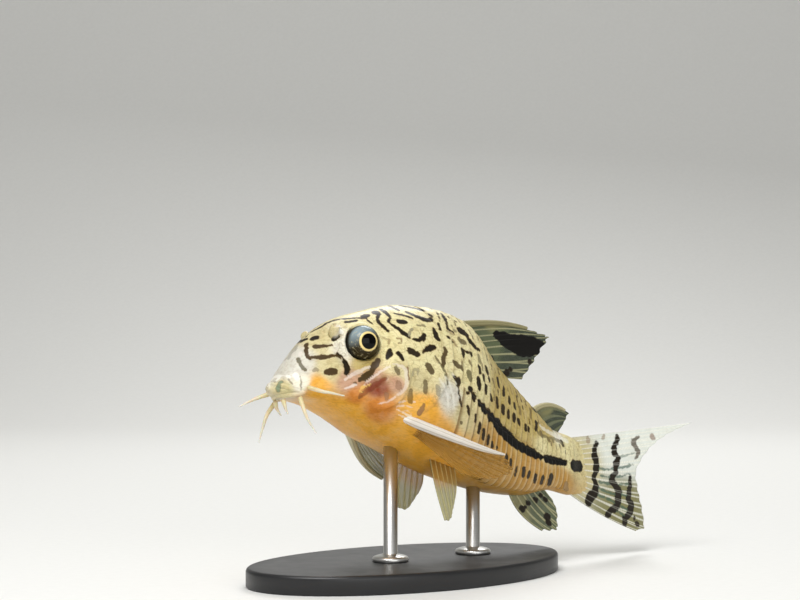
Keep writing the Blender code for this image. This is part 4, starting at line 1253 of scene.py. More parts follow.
@dataclass(frozen=True)
class BarbelRubber:
    """Soft cast silicone, tinted through: pale and slightly see-through towards the tip."""

    name: str = "silicone_barbel"
    root: str = "#d0c08a"
    tip: str = "#ece8d8"
    cloud: float = 0.5  # millimetres

    def build(self) -> Material:
        """Makes the material.

        Returns:
            The material.
        """
        material, add, shader = new_material(self.name)
        where = add("TexCoord").outputs["Object"]
        out = add("Attribute", {"attribute_name": "out"}).outputs["Fac"]
        noise = add("TexNoise", Vector=where, Scale=per_mm(self.cloud), Detail=3.0)
        shift = add("MapRange", Value=noise, To_Min=-0.3, To_Max=0.3)
        place = add("Math", {"operation": "ADD", "use_clamp": True}, i0=out, i1=shift)
        colour = add("Mix", BLEND, Factor=place, i6=linear(self.root), i7=linear(self.tip))
        clear = add("MapRange", Value=out, From_Min=0.3, From_Max=1.0, To_Min=1.0, To_Max=0.72)
        bump = add("Bump", Height=noise, Strength=0.3, Distance=0.00004)
        connect(shader, Base_Color=colour, Alpha=clear, Normal=bump, Roughness=0.35, Subsurface_Weight=0.3,
                Subsurface_Scale=0.0005)
        return material


@dataclass(frozen=True)
class GlassEye:
    """Blown glass eye, painted behind: black pupil, thin gold ring, smoky iris with a painted silver-blue
    highlight at its top and front, dark rim.
    """

    name: str = "blown_glass_eye"
    pupil: float = 27.0  # degrees off the axis
    ring: float = 34.0
    rim: float = 78.0
    grain: float = 0.35  # millimetres
    # the iris is painted from a dark shade below and behind to a silver-blue highlight above and in front
    iris_dark: str = "#342c19"
    iris_highlight: str = "#8fa0a6"
    fleck: str = "#c8bf98"
    edge: str = "#1b1a14"
    gold: str = "#ecd48e"
    black: str = "#000000"

    def build(self) -> Material:
        """Makes the material.

        Returns:
            The material.
        """
        material, add, shader = new_material(self.name)
        where = add("TexCoord").outputs["Object"]
        off = add("Attribute", {"attribute_name": "off_axis"}).outputs["Fac"]
        upward = add("Attribute", {"attribute_name": "upward"}).outputs["Fac"]
        forward = add("Attribute", {"attribute_name": "forward"}).outputs["Fac"]
        noise = add("TexNoise", Vector=where, Scale=per_mm(self.grain), Detail=4.0)
        wander = add("MapRange", Value=noise, To_Min=-3.5, To_Max=3.5)
        angle = add("Math", PLUS, i0=off, i1=wander)
        # painted highlight: the iris is lighter towards its top and front and darker below, as if lit from
        # above and in front
        lit = add("Math", PLUS, i0=upward, i1=forward)
        bright = add("MapRange", Value=lit, From_Min=0.15, From_Max=1.3)
        smoky = add("Mix", BLEND, Factor=bright, i6=linear(self.iris_dark), i7=linear(self.iris_highlight))
        fleck = add("MapRange", Value=noise, From_Min=0.55, From_Max=0.72, To_Max=0.55)
        iris = add("Mix", BLEND, Factor=fleck, i6=smoky, i7=linear(self.fleck))
        rim = add("MapRange", Value=angle, From_Min=self.rim - 12, From_Max=self.rim + 4)
        rimmed = add("Mix", BLEND, Factor=rim, i6=iris, i7=linear(self.edge))
        gold = add("MapRange", Value=off, From_Min=self.ring + 2.5, From_Max=self.ring - 0.5)
        ringed = add("Mix", BLEND, Factor=gold, i6=rimmed, i7=linear(self.gold))
        black = add("MapRange", Value=off, From_Min=self.pupil + 1.2, From_Max=self.pupil - 0.6)
        whole = add("Mix", BLEND, Factor=black, i6=ringed, i7=linear(self.black))
        connect(shader, Base_Color=whole, Roughness=0.5, Specular_IOR_Level=0.0, Coat_Weight=0.35,
                Coat_Roughness=0.02)
        return material


@dataclass(frozen=True)
class SatinPaint:
    """Powder-coated zinc casting: satin black with the fine orange peel of baked powder."""

    name: str = "powder_coated_zinc"
    peel: float = 0.5  # millimetres
    wear: float = 6.0
    dark: str = "#161617"
    light: str = "#222224"

    def build(self) -> Material:
        """Makes the material.

        Returns:
            The material.
        """
        material, add, shader = new_material(self.name)
        where = add("TexCoord").outputs["Object"]
        peel = add("TexNoise", Vector=where, Scale=per_mm(self.peel), Detail=2.0)
        wear = add("TexNoise", Vector=where, Scale=per_mm(self.wear), Detail=5.0)
        soft = add("MapRange", Value=wear, From_Min=0.35, From_Max=0.7, To_Min=0.34, To_Max=0.48)
        colour = add("Mix", BLEND, Factor=wear, i6=linear(self.dark), i7=linear(self.light))
        bump = add("Bump", Height=peel, Strength=0.3, Distance=0.00003)
        connect(shader, Base_Color=colour, Roughness=soft, Normal=bump)
        return material


@dataclass(frozen=True)
class TurnedSteel:
    """Stainless steel rod, turned and brushed round: bright, with fine rings from the tool."""

    name: str = "brushed_stainless"
    pitch: float = 0.12  # millimetres
    dark: str = "#c4c4c1"
    light: str = "#dededb"

    def build(self) -> Material:
        """Makes the material.

        Returns:
            The material.
        """
        material, add, shader = new_material(self.name)
        where = add("TexCoord").outputs["Object"]
        flat = add("Mapping", Vector=where, Scale=(0.06, 0.06, 1.0))
        rings = add("TexNoise", Vector=flat, Scale=per_mm(self.pitch), Detail=3.0)
        rough = add("MapRange", Value=rings, From_Min=0.3, From_Max=0.7, To_Min=0.28, To_Max=0.36)
        colour = add("Mix", BLEND, Factor=rings, i6=linear(self.dark), i7=linear(self.light))
        bump = add("Bump", Height=rings, Strength=0.04, Distance=0.00001)
        connect(shader, Base_Color=colour, Roughness=rough, Normal=bump, Metallic=1.0)
        return material


@dataclass(frozen=True)
class PaperSweep:
    """Uncoated background paper: pale, matt, with a faint fibre."""

    name: str = "background_paper"
    fibre: float = 1.2  # millimetres
    dark: str = "#e6e6e3"
    light: str = "#ecece9"

    def build(self) -> Material:
        """Makes the material.

        Returns:
            The material.
        """
        material, add, shader = new_material(self.name)
        where = add("TexCoord").outputs["Object"]
        fibre = add("TexNoise", Vector=where, Scale=per_mm(self.fibre), Detail=4.0)
        colour = add("Mix", BLEND, Factor=fibre, i6=linear(self.dark), i7=linear(self.light))
        connect(shader, Base_Color=colour, Roughness=0.9)
        return material


@dataclass(frozen=True)
class Socket:
    """The eye's place on the right side and its size."""

    at: tuple = (9.5, 3.85, 3.1)
    radius: float = 2.15
    axis: tuple = (-0.33, 0.93, -0.17)
    bank: tuple = (0.32, 0.55, -0.05)  # height of the skin beside the ball, its slope and how that bends
    soft: float = 0.12
    fade: tuple = (2.6, 1.2)  # how far past the ball the hollow ends, and how far it is whole
    rim: tuple = (0.16, 0.30, 0.22)  # height, distance past the ball and width


@dataclass
class Skin:
    """The trunk's skin with its bony relief, lips and nostrils, as one piece without a seam."""

    eye: Socket = Socket()
    columns: int = 300
    snout_step: float = 0.06
    head_step: float = 0.115
    rear_step: float = 0.4
    head_ends: float = 22.0
    plates: tuple = (  # height, middle, reach, tilt and edge
        (0.30, (12.5, -1.2), (2.9, 4.1), 18.0, 0.10),  # gill cover
        (0.20, (18.6, 0.6), (2.2, 4.8), 20.0, 0.14),  # shoulder
        (0.10, (16.8, 6.6), (3.6, 2.6), -28.0, 0.14),  # nape
    )
    groove: tuple = (0.10, -0.8, 0.5)  # depth, height on the fish and width
    crest: float = 0.3
    lip_radius: float = 0.48
    nostril_at: tuple = (5.7, 2.95, 3.55)
    nostril_out: tuple = (-0.25, 0.62, 0.74)
    nostril_profile: tuple = (  # height and radius, from the outer foot over the edge into the pit
        (-0.8, 0.74), (0.2, 0.72), (0.6, 0.66), (0.82, 0.60),
        (0.88, 0.53), (0.82, 0.45), (0.4, 0.36), (-0.3, 0.30),
    )
    lip_corner: tuple = (3.0, 2.5, -5.2)
    lip_middles: tuple = (  # half way to the corner and in front, of the upper and the lower lip
        ((0.9, 1.8, -4.95), (0.0, 0.0, -4.85)),
        ((1.7, 1.6, -5.65), (0.9, 0.0, -5.75)),
    )

    def grid(self) -> tuple[np.ndarray, np.ndarray, np.ndarray]:
        """Places x and angles of the grid, and its points before relief.

        Returns:
            Places x, section angles and points, each as a grid.
        """
        x = np.concatenate([
            np.arange(-0.58, 1.0, self.snout_step),
            np.arange(1.0, self.head_ends, self.head_step),
            np.arange(self.head_ends, 54.2, self.rear_step),
        ])
        angle = np.linspace(0, 360, self.columns, endpoint=False)
        x, angle = np.meshgrid(x, angle, indexing="ij")
        return x, angle, TRUNK.point(x, angle)

    def relief(self, points: np.ndarray) -> np.ndarray:
        """Height over the smooth trunk: the bony plates, less a groove along the cheek, none at the crest.

        Args:
            points: Points on the smooth trunk.

        Returns:
            Millimetres outwards at each point.
        """
        x, side, z = points[..., 0], np.abs(points[..., 1]), points[..., 2]
        height = sum(high * self.plate(x, z, *plate) for high, *plate in self.plates)
        deep, low, wide = self.groove
        along = smoothstep(2.0, 4.0, x) * smoothstep(9, 7, x)
        height -= deep * np.exp(-(((z - low) / wide) ** 2)) * along
        return np.where(side > self.crest, height, height * side / self.crest)

    @staticmethod
    def plate(
        x: np.ndarray,
        z: np.ndarray,
        at: tuple[float, float],
        reach: tuple[float, float],
        tilt: float,
        edge: float,
    ) -> np.ndarray:
        """1 on a tilted oval plate and 0 off it, with a soft front edge and a steep rear one.

        Args:
            x: Places along the fish.
            z: Heights.
            at: Middle of the plate, as x and z.
            reach: Half its length and half its height.
            tilt: Degrees by which it slopes down towards the tail.
            edge: How far its border fades, as a share of its reach.

        Returns:
            The share of the plate's height.
        """
        t = math.radians(tilt)
        u = ((x - at[0]) * math.cos(t) - (z - at[1]) * math.sin(t)) / reach[0]
        w = ((x - at[0]) * math.sin(t) + (z - at[1]) * math.cos(t)) / reach[1]
        radius = np.hypot(u, w)
        rear = 0.5 + 0.5 * u / np.maximum(radius, 1e-6)
        step = edge / 2 + 0.45 * (1 - rear) ** 2
        return (0.15 + 0.85 * rear**1.5) * smoothstep(1 + step, 1 - step, radius)

    def sunk(self, points: np.ndarray) -> np.ndarray:
        """Points with the orbit's rim raised and the skin drawn down round the eyeball.

        With d the distance from the eye's axis and h the height over the plane through its middle, h is held
        below a slope that starts at the eyeball's widest circle; inside that circle it is sunk.

        Args:
            points: Points of the skin.

        Returns:
            The moved points.
        """
        folded = points * (1, 0, 1) + np.abs(points) * (0, 1, 0)
        axis = unit(np.array(self.eye.axis))
        away = folded - np.array(self.eye.at)
        height = away @ axis
        distance = np.linalg.norm(away - height[..., None] * axis, axis=-1)
        radius = self.eye.radius
        low, rise, bend = self.eye.bank
        slope = low + rise * (distance - radius) + bend * (distance - radius) ** 2
        held = 0.5 * (height + slope - np.sqrt((height - slope) ** 2 + self.eye.soft))
        ends, whole = self.eye.fade
        held = np.where(distance < radius + ends, held, height)
        blend = smoothstep(radius + ends, radius + whole, distance)
        held = height * (1 - blend) + held * blend
        high, past, wide = self.eye.rim
        held = held + high * np.exp(-(((distance - radius - past) / wide) ** 2))
        sink = smoothstep(radius + 0.12, radius - 0.02, distance)
        held = held * (1 - sink) + np.minimum(held, -0.6) * sink
        near = (distance < radius + 3) & (height > -radius * 1.6)
        moved = folded + np.where(near, held - height, 0.0)[..., None] * axis
        moved[..., 1] *= np.where(points[..., 1] < 0, -1.0, 1.0)
        return moved

    def lips(self) -> list[Mesh]:
        """Upper and lower lip, each a soft roll between the corners of the mouth.

        Returns:
            Points and faces of each lip.
        """
        made = []
        corner = self.lip_corner
        for middle, front in self.lip_middles:
            points = [Side.LEFT.flip(corner), Side.LEFT.flip(middle), front, middle, corner]
            share = np.linspace(0, 1, 90)
            radius = self.lip_radius * (0.78 + 0.22 * np.sin(share * math.pi))
            radius = radius * (1 + 0.03 * np.sin(share * 61) + 0.02 * np.sin(share * 37 + 1))
            made.append(tube(through(points, share), radius, 24))
        return made

    def nostrils(self) -> list[Mesh]:
        """The raised rim of each nostril: a short collar turned over at its edge round a pit.

        Returns:
            Points and faces of each nostril.
        """
        made = []
        turn = np.linspace(0, 2 * math.pi, 40, endpoint=False)
        for side in Side:
            out = unit(side.flip(self.nostril_out))
            a = unit(np.cross(out, (1.0, 0.0, 0.3)))
            b = np.cross(out, a)
            circle = np.cos(turn)[:, None] * a + np.sin(turn)[:, None] * b
            wave = 1 + 0.10 * np.cos(2 * turn + 0.6)[:, None]
            at = side.flip(self.nostril_at)
            rings = np.array([at + out * h + circle * r * wave for h, r in self.nostril_profile])
            made.append(closed_rings(rings, at - out * 0.9, at - out * 0.3))
        return made

    def build(self) -> Mesh:
        """All of the skin's points and faces on the straight fish.

        Returns:
            Points and faces.
        """
        x, angle, points = self.grid()
        normal = TRUNK.normal(x, angle)
        points = points + normal * self.relief(points)[..., None]
        points = self.sunk(points)
        body = closed_rings(points, np.array((-0.62, 0.0, -5.25)), np.array((54.3, 0.0, -0.1)))
        parts = [body] + self.lips() + self.nostrils()
        return joined([(p, outward(p, f)) for p, f in parts])


@dataclass
class Scutes:
    """The bony scutes: two rows of tall plates a side, each over the front of the next."""

    rows: int = 23
    start: tuple = (23.4, 20.8, 17.8)  # x of the first front edge at the belly, the seam and the back
    stop: tuple = (48.4, 50.0, 49.8)
    places: tuple = (-60.0, 8.0, 78.0)
    shrink: float = 0.22
    lift: float = 0.21
    dip: float = 0.04
    root: float = 0.5
    overlap: float = 0.12
    tail_root: float = 51.6
    across: int = 56
    along: int = 12
    plate_seed: int = 5
    dash_seed: int = 23

    def edge(self, number: int, angle: np.ndarray) -> np.ndarray:
        """x of the front edge of a scute at a section angle.

        Args:
            number: Which scute, counted from the head.
            angle: Section angles.

        Returns:
            x at each angle.
        """
        share = number / self.rows
        share += self.shrink * share * (1 - share)
        start, stop = np.array(self.start), np.array(self.stop)
        return np.interp(angle, self.places, start + (stop - start) * share)

    def plate(self, low: float, high: float, number: int, jitter: float) -> tuple:
        """One scute of the right side: a shell that rises from its front edge to a free, rounded rear rim.

        Its height is dip + (lift - dip) v^0.7, rounded off at both ends as 1 - |2u - 1|^14, and its rim
        turns down to the root. The lift fades out on the tail root.

        Args:
            low: Lowest section angle.
            high: Highest section angle.
            number: Which scute, counted from the head.
            jitter: Its shift along x.

        Returns:
            Points, faces, and the share along the plate at each point.
        """
        angle = np.linspace(low, high, self.across)
        ends = (low, high)
        front = np.interp(angle, ends, self.edge(number, np.array(ends))) + jitter
        behind = np.interp(angle, ends, self.edge(number + 1, np.array(ends))) + jitter
        rear = np.minimum(behind + (behind - front) * self.overlap, self.tail_root)
        u = np.linspace(0, 1, self.across)
        rear = rear + 0.12 * np.sin(u * math.pi) - 0.25 * (np.abs(2 * u - 1) ** 6)
        v = np.linspace(0, 1, self.along)[:, None]
        x = front + (rear - front) * v
        lift = np.interp(x, (44.0, 51.0), (self.lift, self.dip + 0.02))
        height = self.dip + (lift - self.dip) * v**0.7 * (1 - np.abs(2 * u - 1) ** 14 * 0.9)
        rim = ((0.02, 0.80), (0.035, 0.45), (0.03, 0.0))
        x = np.concatenate([x] + [rear[None] + push for push, _ in rim])
        height = np.concatenate([height] + [height[-1:] * share for _, share in rim])
        height[-1] = -self.root
        x = np.concatenate([x[:1] - 0.02, x])
        height = np.concatenate([np.full((1, self.across), -self.root), height])
        angles = np.broadcast_to(angle, x.shape)
        points = TRUNK.point(x, angles) + TRUNK.normal(x, angles) * height[..., None]
        skirt = [points[:, :1].copy(), points[:, -1:].copy()]
        for edge, wall in zip((0, -1), skirt):
            drop = height[:, edge, None, None] + self.root
            wall -= TRUNK.normal(x[:, edge], angles[:, edge])[:, None] * drop
        points = np.concatenate([skirt[0], points, skirt[1]], axis=1)
        rows, columns, _ = points.shape
        index = np.arange(rows * columns).reshape(rows, columns)
        quads = np.stack([index[:-1, :-1], index[:-1, 1:], index[1:, 1:], index[1:, :-1]], -1).reshape(-1, 4)
        rim = np.concatenate([index[0], index[1:, -1], index[-1, -2::-1], index[-2:0:-1, 0]])
        share = np.concatenate([[0.0], v[:, 0], [1.02, 1.04, 1.1]])
        plate_v = np.broadcast_to(share[:, None], (rows, columns)).ravel()
        return points.reshape(-1, 3), quads.tolist() + [rim[::-1].tolist()], plate_v

    def build(self, side: Side) -> tuple[np.ndarray, list, np.ndarray, np.ndarray]:
        """All scutes of one side, with how strongly the painted rim shade and highlight show at each point,
        and its place along its plate.

        Args:
            side: Side of the fish.

        Returns:
            Points, faces, strength of the painted rim shade and highlight, and share along the plate at each
            point.
        """
        chance = np.random.default_rng(self.plate_seed)
        parts, rimmed, vs = [], [], []
        for number in range(self.rows):
            x = float(self.edge(number, self.places[1]))
            seam = float(np.interp(x, (20.0, 45.0), (20.0, 0.0)))
            rows = [(seam + 1.5, float(np.interp(x, (18.0, 48.0), (80.0, 64.0))))]
            if number > 0:
                rows.append((seam - 1.5, float(np.interp(x, (22.0, 32.0), (-38.0, -66.0)))))
            # the painted rim shade and highlight are weaker on the upper row than on the lower
            for (low, high), strength in zip(rows, (0.45, 1.0)):
                points, faces, v = self.plate(low, high, number, chance.uniform(-0.05, 0.05))
                points = side.flip(points)
                parts.append((points, outward(points, faces)))
                rimmed.append(np.full(len(v), strength))
                vs.append(v)
        points, faces = joined(parts)
        return points, faces, np.concatenate(rimmed), np.concatenate(vs)

    def dashes(self) -> list[Laid]:
        """Small dashes along the upper plates' rear rims, scattered by a seeded chance.

        Returns:
            The dashes, as strokes on the right side.
        """
        chance = np.random.default_rng(self.dash_seed)
        made = []
        for number in range(-1, self.rows - 2):
            low = float(np.interp(self.edge(number, self.places[1]), (20.0, 45.0), (30.0, 16.0)))
            for angle in np.arange(low, 84.0, 7.5) + chance.uniform(-2.5, 2.5):
                angle = angle + chance.uniform(-2.0, 2.0)
                turn = angle + np.linspace(-1, 1, 5) * chance.uniform(1.2, 3.2)
                x = self.edge(number + 1, turn) + chance.uniform(-0.35, 0.15)
                line = TRUNK.point(x, turn) + TRUNK.normal(x, turn) * self.lift * 0.8
                half = np.full(5, chance.uniform(0.10, 0.17))
                tone = Tone.BROWN if chance.random() < 0.6 else Tone.SOOT
                if chance.random() < 0.86:
                    made.append(Laid(line.astype(np.float32), half.astype(np.float32), tone,
                                     float(chance.uniform(0.5, 0.95))))
        return made


@dataclass
class Fin:
    """A fin of branching rays spread from a root line to a margin line, and a round spine in front."""

    name: str
    root: list
    margin: list
    rays: int
    bow: tuple = (0.0, 0.0, 0.0)
    trail: tuple = (0.0, 0.0, 0.0)
    curl: float = 1.6
    rows: int = 56
    per_ray: int = 10
    spine: tuple | None = None  # radii from root to tip
    notch: float = 0.04
    web_half: float = 0.05
    ray_half: float = 0.16
    fork: float = 0.42

    def sheet(self) -> tuple[np.ndarray, np.ndarray, np.ndarray]:
        """The middle surface, with the share out from the root and the ray number of each point.

        A ray runs straight from its foot to its tip, is delayed sideways by the curl and pushed by
        4 o (1 - o) times the bow in front and the trail behind.

        Returns:
            Grids of points, shares outwards and ray numbers.
        """
        across = np.linspace(0, 1, (self.rays - 1) * self.per_ray + 1)
        foot, tip = through(self.root, across), through(self.margin, across)
        number = across * (self.rays - 1)
        between = 0.5 - 0.5 * np.cos(2 * math.pi * number)
        tip = foot + (tip - foot) * (1 - self.notch * between)[:, None]
        out = np.linspace(0, 1, self.rows)[:, None, None]
        way = tip - foot
        points = foot[None] + way[None] * out
        points[..., 1] = foot[None, :, 1] + way[None, :, 1] * out[..., 0] ** self.curl
        arch = 4 * out * (1 - out)
        first, last = (1 - across)[None, :, None] ** 1.5, across[None, :, None] ** 1.5
        points = points + arch * (first * np.array(self.bow, float) + last * np.array(self.trail, float))
        shape = points.shape[:2]
        return points, np.broadcast_to(out[..., 0], shape), np.broadcast_to(number, shape)

    def ray(self, out: np.ndarray, number: np.ndarray) -> np.ndarray:
        """1 on a ray's middle and 0 on the membrane; past the fork each ray is two that part slowly.

        Args:
            out: Shares outwards.
            number: Ray numbers, with the membrane between.

        Returns:
            The share of a ray's thickness.
        """
        phase = np.abs(number - np.round(number))
        part = 0.22 * smoothstep(self.fork, 1.15, out)
        return np.exp(-(((phase - part) / (0.13 - 0.05 * out)) ** 2))

    def build(self) -> tuple[np.ndarray, list, dict[str, np.ndarray]]:
        """Points, faces and attributes of the fin.

        Returns:
            Points, faces, and a number at each point by attribute name.
        """
        sheet, out, number = self.sheet()
        normal = unit(np.cross(np.gradient(sheet, axis=1), np.gradient(sheet, axis=0)))
        ray = self.ray(out, number)
        thin = 1 - 0.72 * out
        half = (self.web_half * (1 - 0.5 * out) + (self.ray_half - self.web_half) * ray * thin)[..., None]
        points, faces = slab(sheet + normal * half, sheet - normal * half)
        values = {
            "ray": np.tile(ray.ravel(), 2),
            "out": np.tile(out.ravel(), 2),
            "across": np.tile(number.ravel(), 2),
        }
        parts = [(points, outward(points, faces))]
        if self.spine:
            share = np.linspace(0, 1, 60)
            line = through(sheet[::5, 0], share)
            radius = np.interp(share, np.linspace(0, 1, len(self.spine)), self.spine)
            spine_points, spine_faces = tube(line, radius, 24)
            parts.append((spine_points, outward(spine_points, spine_faces)))
            count = len(spine_points)
            place = np.clip((spine_points - line[0]) @ unit(line[-1] - line[0]), 0, None)
            place = place / place.max()
            values["ray"] = np.concatenate([values["ray"], np.full(count, 2.0)])
            values["out"] = np.concatenate([values["out"], place])
            turn = np.resize(np.arange(24) * 2 * math.pi / 24 * 7, count)
            values["across"] = np.concatenate([values["across"], turn])
        points, faces = joined(parts)
        return points, faces, values


def fins() -> list[Fin]:
    """Every fin of the fish, with the CAD's own root and margin lines.

    Returns:
        The unpaired fins, and then the paired ones.
    """

    def left(points: list) -> list:
        """The points on the left side."""
        return [tuple(p) for p in Side.LEFT.flip(points)]

    return [
        Fin(
            "fin_dorsal",
            root=[TRUNK.back(x, 1.2) for x in (24.0, 29.0, 34.0)],
            margin=[(38.4, -1.4, 16.5), (42.8, -2.4, 16.1), (41.0, -1.8, 13.0), (39.4, -0.6, 9.6)],
            rays=9, bow=(-0.3, 0, 1.0), spine=(0.6, 0.25),
        ),
        Fin(
            "fin_adipose",
            root=[TRUNK.back(x, 0.7) for x in (42.2, 47.6)],
            margin=[(49.3, -0.9, 6.9), (48.6, -0.4, 5.2)],
            rays=3, bow=(-0.2, 0, 1.2), rows=40, spine=(0.5, 0.2), fork=2.0,
        ),
        Fin(
            "fin_caudal",
            root=[(50.3, 0.0, 3.8), (50.7, 0.0, 0.0), (50.3, 0.0, -3.9)],
            margin=[(69.3, -6.0, 8.5), (65.6, -4.5, 6.3), (63.2, -3.1, 3.8), (62.1, -2.0, 1.0),
                    (63.4, -1.1, -1.2), (65.6, -0.1, -4.2), (66.3, 0.2, -6.2), (64.4, 0.2, -7.0)],
            rays=14, trail=(0, 0, -0.45), curl=1.8, rows=80, notch=0.015, fork=0.3,
        ),
        Fin(
            "fin_anal",
            root=[TRUNK.belly(x, 1.0) for x in (39.2, 42.0, 44.6)],
            margin=[(45.4, 0.0, -9.9), (48.3, 0.0, -9.1), (48.2, 0.0, -7.0), (47.2, 0.0, -5.3)],
            rays=7, bow=(-0.9, 0, -0.5),
        ),
        Fin(
            "fin_pectoral_left",
            root=left([(14.8, 4.9, -4.7), (16.2, 4.7, -5.4), (17.6, 4.5, -6.0)]),
            margin=left([(29.4, 10.0, -5.5), (32.2, 8.8, -6.5), (30.4, 7.6, -8.2), (26.0, 6.9, -9.3)]),
            rays=9, bow=(0.2, -0.8, -0.9), curl=1.0, notch=0.02, spine=(0.4, 0.62, 0.6, 0.5, 0.38, 0.14),
        ),
        Fin(
            "fin_pectoral_right",
            root=[(15.0, 4.9, -5.0), (16.2, 4.7, -5.4), (17.4, 4.5, -5.8)],
            margin=[(26.9, 10.0, -7.3), (28.9, 9.6, -7.2), (28.6, 9.0, -6.4), (26.6, 8.2, -5.6)],
            rays=9, bow=(-0.2, 0.8, -0.7), curl=1.0, spine=(0.65, 0.25),
        ),
        Fin(
            "fin_pelvic_left",
            root=left([(23.6, 2.4, -6.4), (25.3, 2.8, -6.3), (27.0, 3.0, -6.0)]),
            margin=left([(27.4, 3.9, -14.6), (27.8, 4.0, -14.5), (28.3, 3.9, -13.6), (28.3, 3.8, -12.0)]),
            rays=6, bow=(-0.4, -0.2, 0.0), trail=(0.7, 0.1, 0.0), curl=1.0, notch=0.012, fork=0.5,
        ),
        Fin(
            "fin_pelvic_right",
            root=[(23.6, 2.4, -6.4), (25.4, 2.8, -6.2), (27.4, 3.0, -5.9)],
            margin=[(25.0, 3.8, -12.7), (27.1, 4.0, -12.4), (28.6, 4.0, -9.4)],
            rays=6, bow=(-0.7, 0.2, 0.0), trail=(0.5, 0.1, 0.0), curl=1.0, notch=0.012, fork=0.5,
        ),
    ]


@dataclass
class Barbels:
    """The feelers round the mouth: two long ones at each corner and two short ones under the lip."""

    lines: tuple = (
        ("barbel_upper_right", ((1.5, 2.9, -5.0), (0.3, 3.7, -5.8), (-1.4, 4.5, -7.2))),
        ("barbel_lower_right", ((2.3, 2.6, -6.1), (2.0, 3.4, -7.6), (2.2, 4.5, -10.8))),
        ("barbel_upper_left", ((3.1, -3.5, -4.7), (4.4, -5.5, -5.2), (6.4, -6.4, -5.2))),
        ("barbel_lower_left", ((2.7, -2.6, -6.1), (3.4, -3.6, -8.4), (4.7, -4.2, -10.1))),
        ("barbel_chin_right", ((1.3, 0.75, -6.5), (1.7, 0.85, -7.1), (2.5, 0.9, -7.8))),
        ("barbel_chin_left", ((1.5, -0.8, -6.5), (1.8, -0.9, -7.2), (2.3, -0.95, -7.9))),
    )
    long_radii: tuple = (0.30, 0.20, 0.07)
    chin_radii: tuple = (0.30, 0.19, 0.07)

    def build(self, material: Material) -> None:
        """Adds each barbel as a tapered tube with faint rings.

        Args:
            material: Its finish.
        """
        share = np.linspace(0, 1, 70)
        for name, points in self.lines:
            line = through(points, share)
            radii = self.chin_radii if "chin" in name else self.long_radii
            radius = monotone(np.column_stack([(0, 0.5, 1), radii]), share)[:, 0]
            radius = radius * (1 + 0.025 * np.sin(share * 90))
            made, faces = tube(line, radius, 24)
            place = np.linalg.norm(made - line[0], axis=1)
            values = {"out": place / place.max()}
            add_piece(f"{name}_feeler", made, faces, material, (name,), values)


@dataclass
class Eyes:
    """The two eyeballs, each with its optical axis kept as the angle from it at every point."""

    socket: Socket = Socket()
    sides: int = 96
    rings: int = 64
    look: tuple = (-0.17, 0.975, -0.14)  # direction of the pupil on the right side

    def build(self, material: Material) -> None:
        """Adds a ball for each eye, r (cos b cos t, cos b sin t, sin b), with its angles at each point.

        Args:
            material: Its finish.
        """
        lat = np.linspace(-math.pi / 2, math.pi / 2, self.rings + 2)[1:-1, None]
        turn = np.linspace(0, 2 * math.pi, self.sides, endpoint=False)[None]
        wide = np.cos(lat)
        ball = np.stack([wide * np.cos(turn), wide * np.sin(turn), np.sin(lat) + 0 * turn], -1)
        for side in Side:
            look = unit(side.flip(self.look))
            at = side.flip(self.socket.at)
            first, last = at + (0, 0, -self.socket.radius), at + (0, 0, self.socket.radius)
            points, faces = closed_rings(at + ball * self.socket.radius, first, last)
            way = unit(points - at)
            angle = np.degrees(np.arccos(np.clip(way @ look, -1, 1)))
            up = unit(np.cross(np.cross(look, (0.0, 0.0, 1.0)), look))
            name = f"eye_{side.name.lower()}"
            # upward and forward place the painted highlight on the iris
            values = {"off_axis": angle, "upward": way @ up, "forward": -way[:, 0]}
            add_piece(f"{name}_ball", points, faces, material, (name,), values)


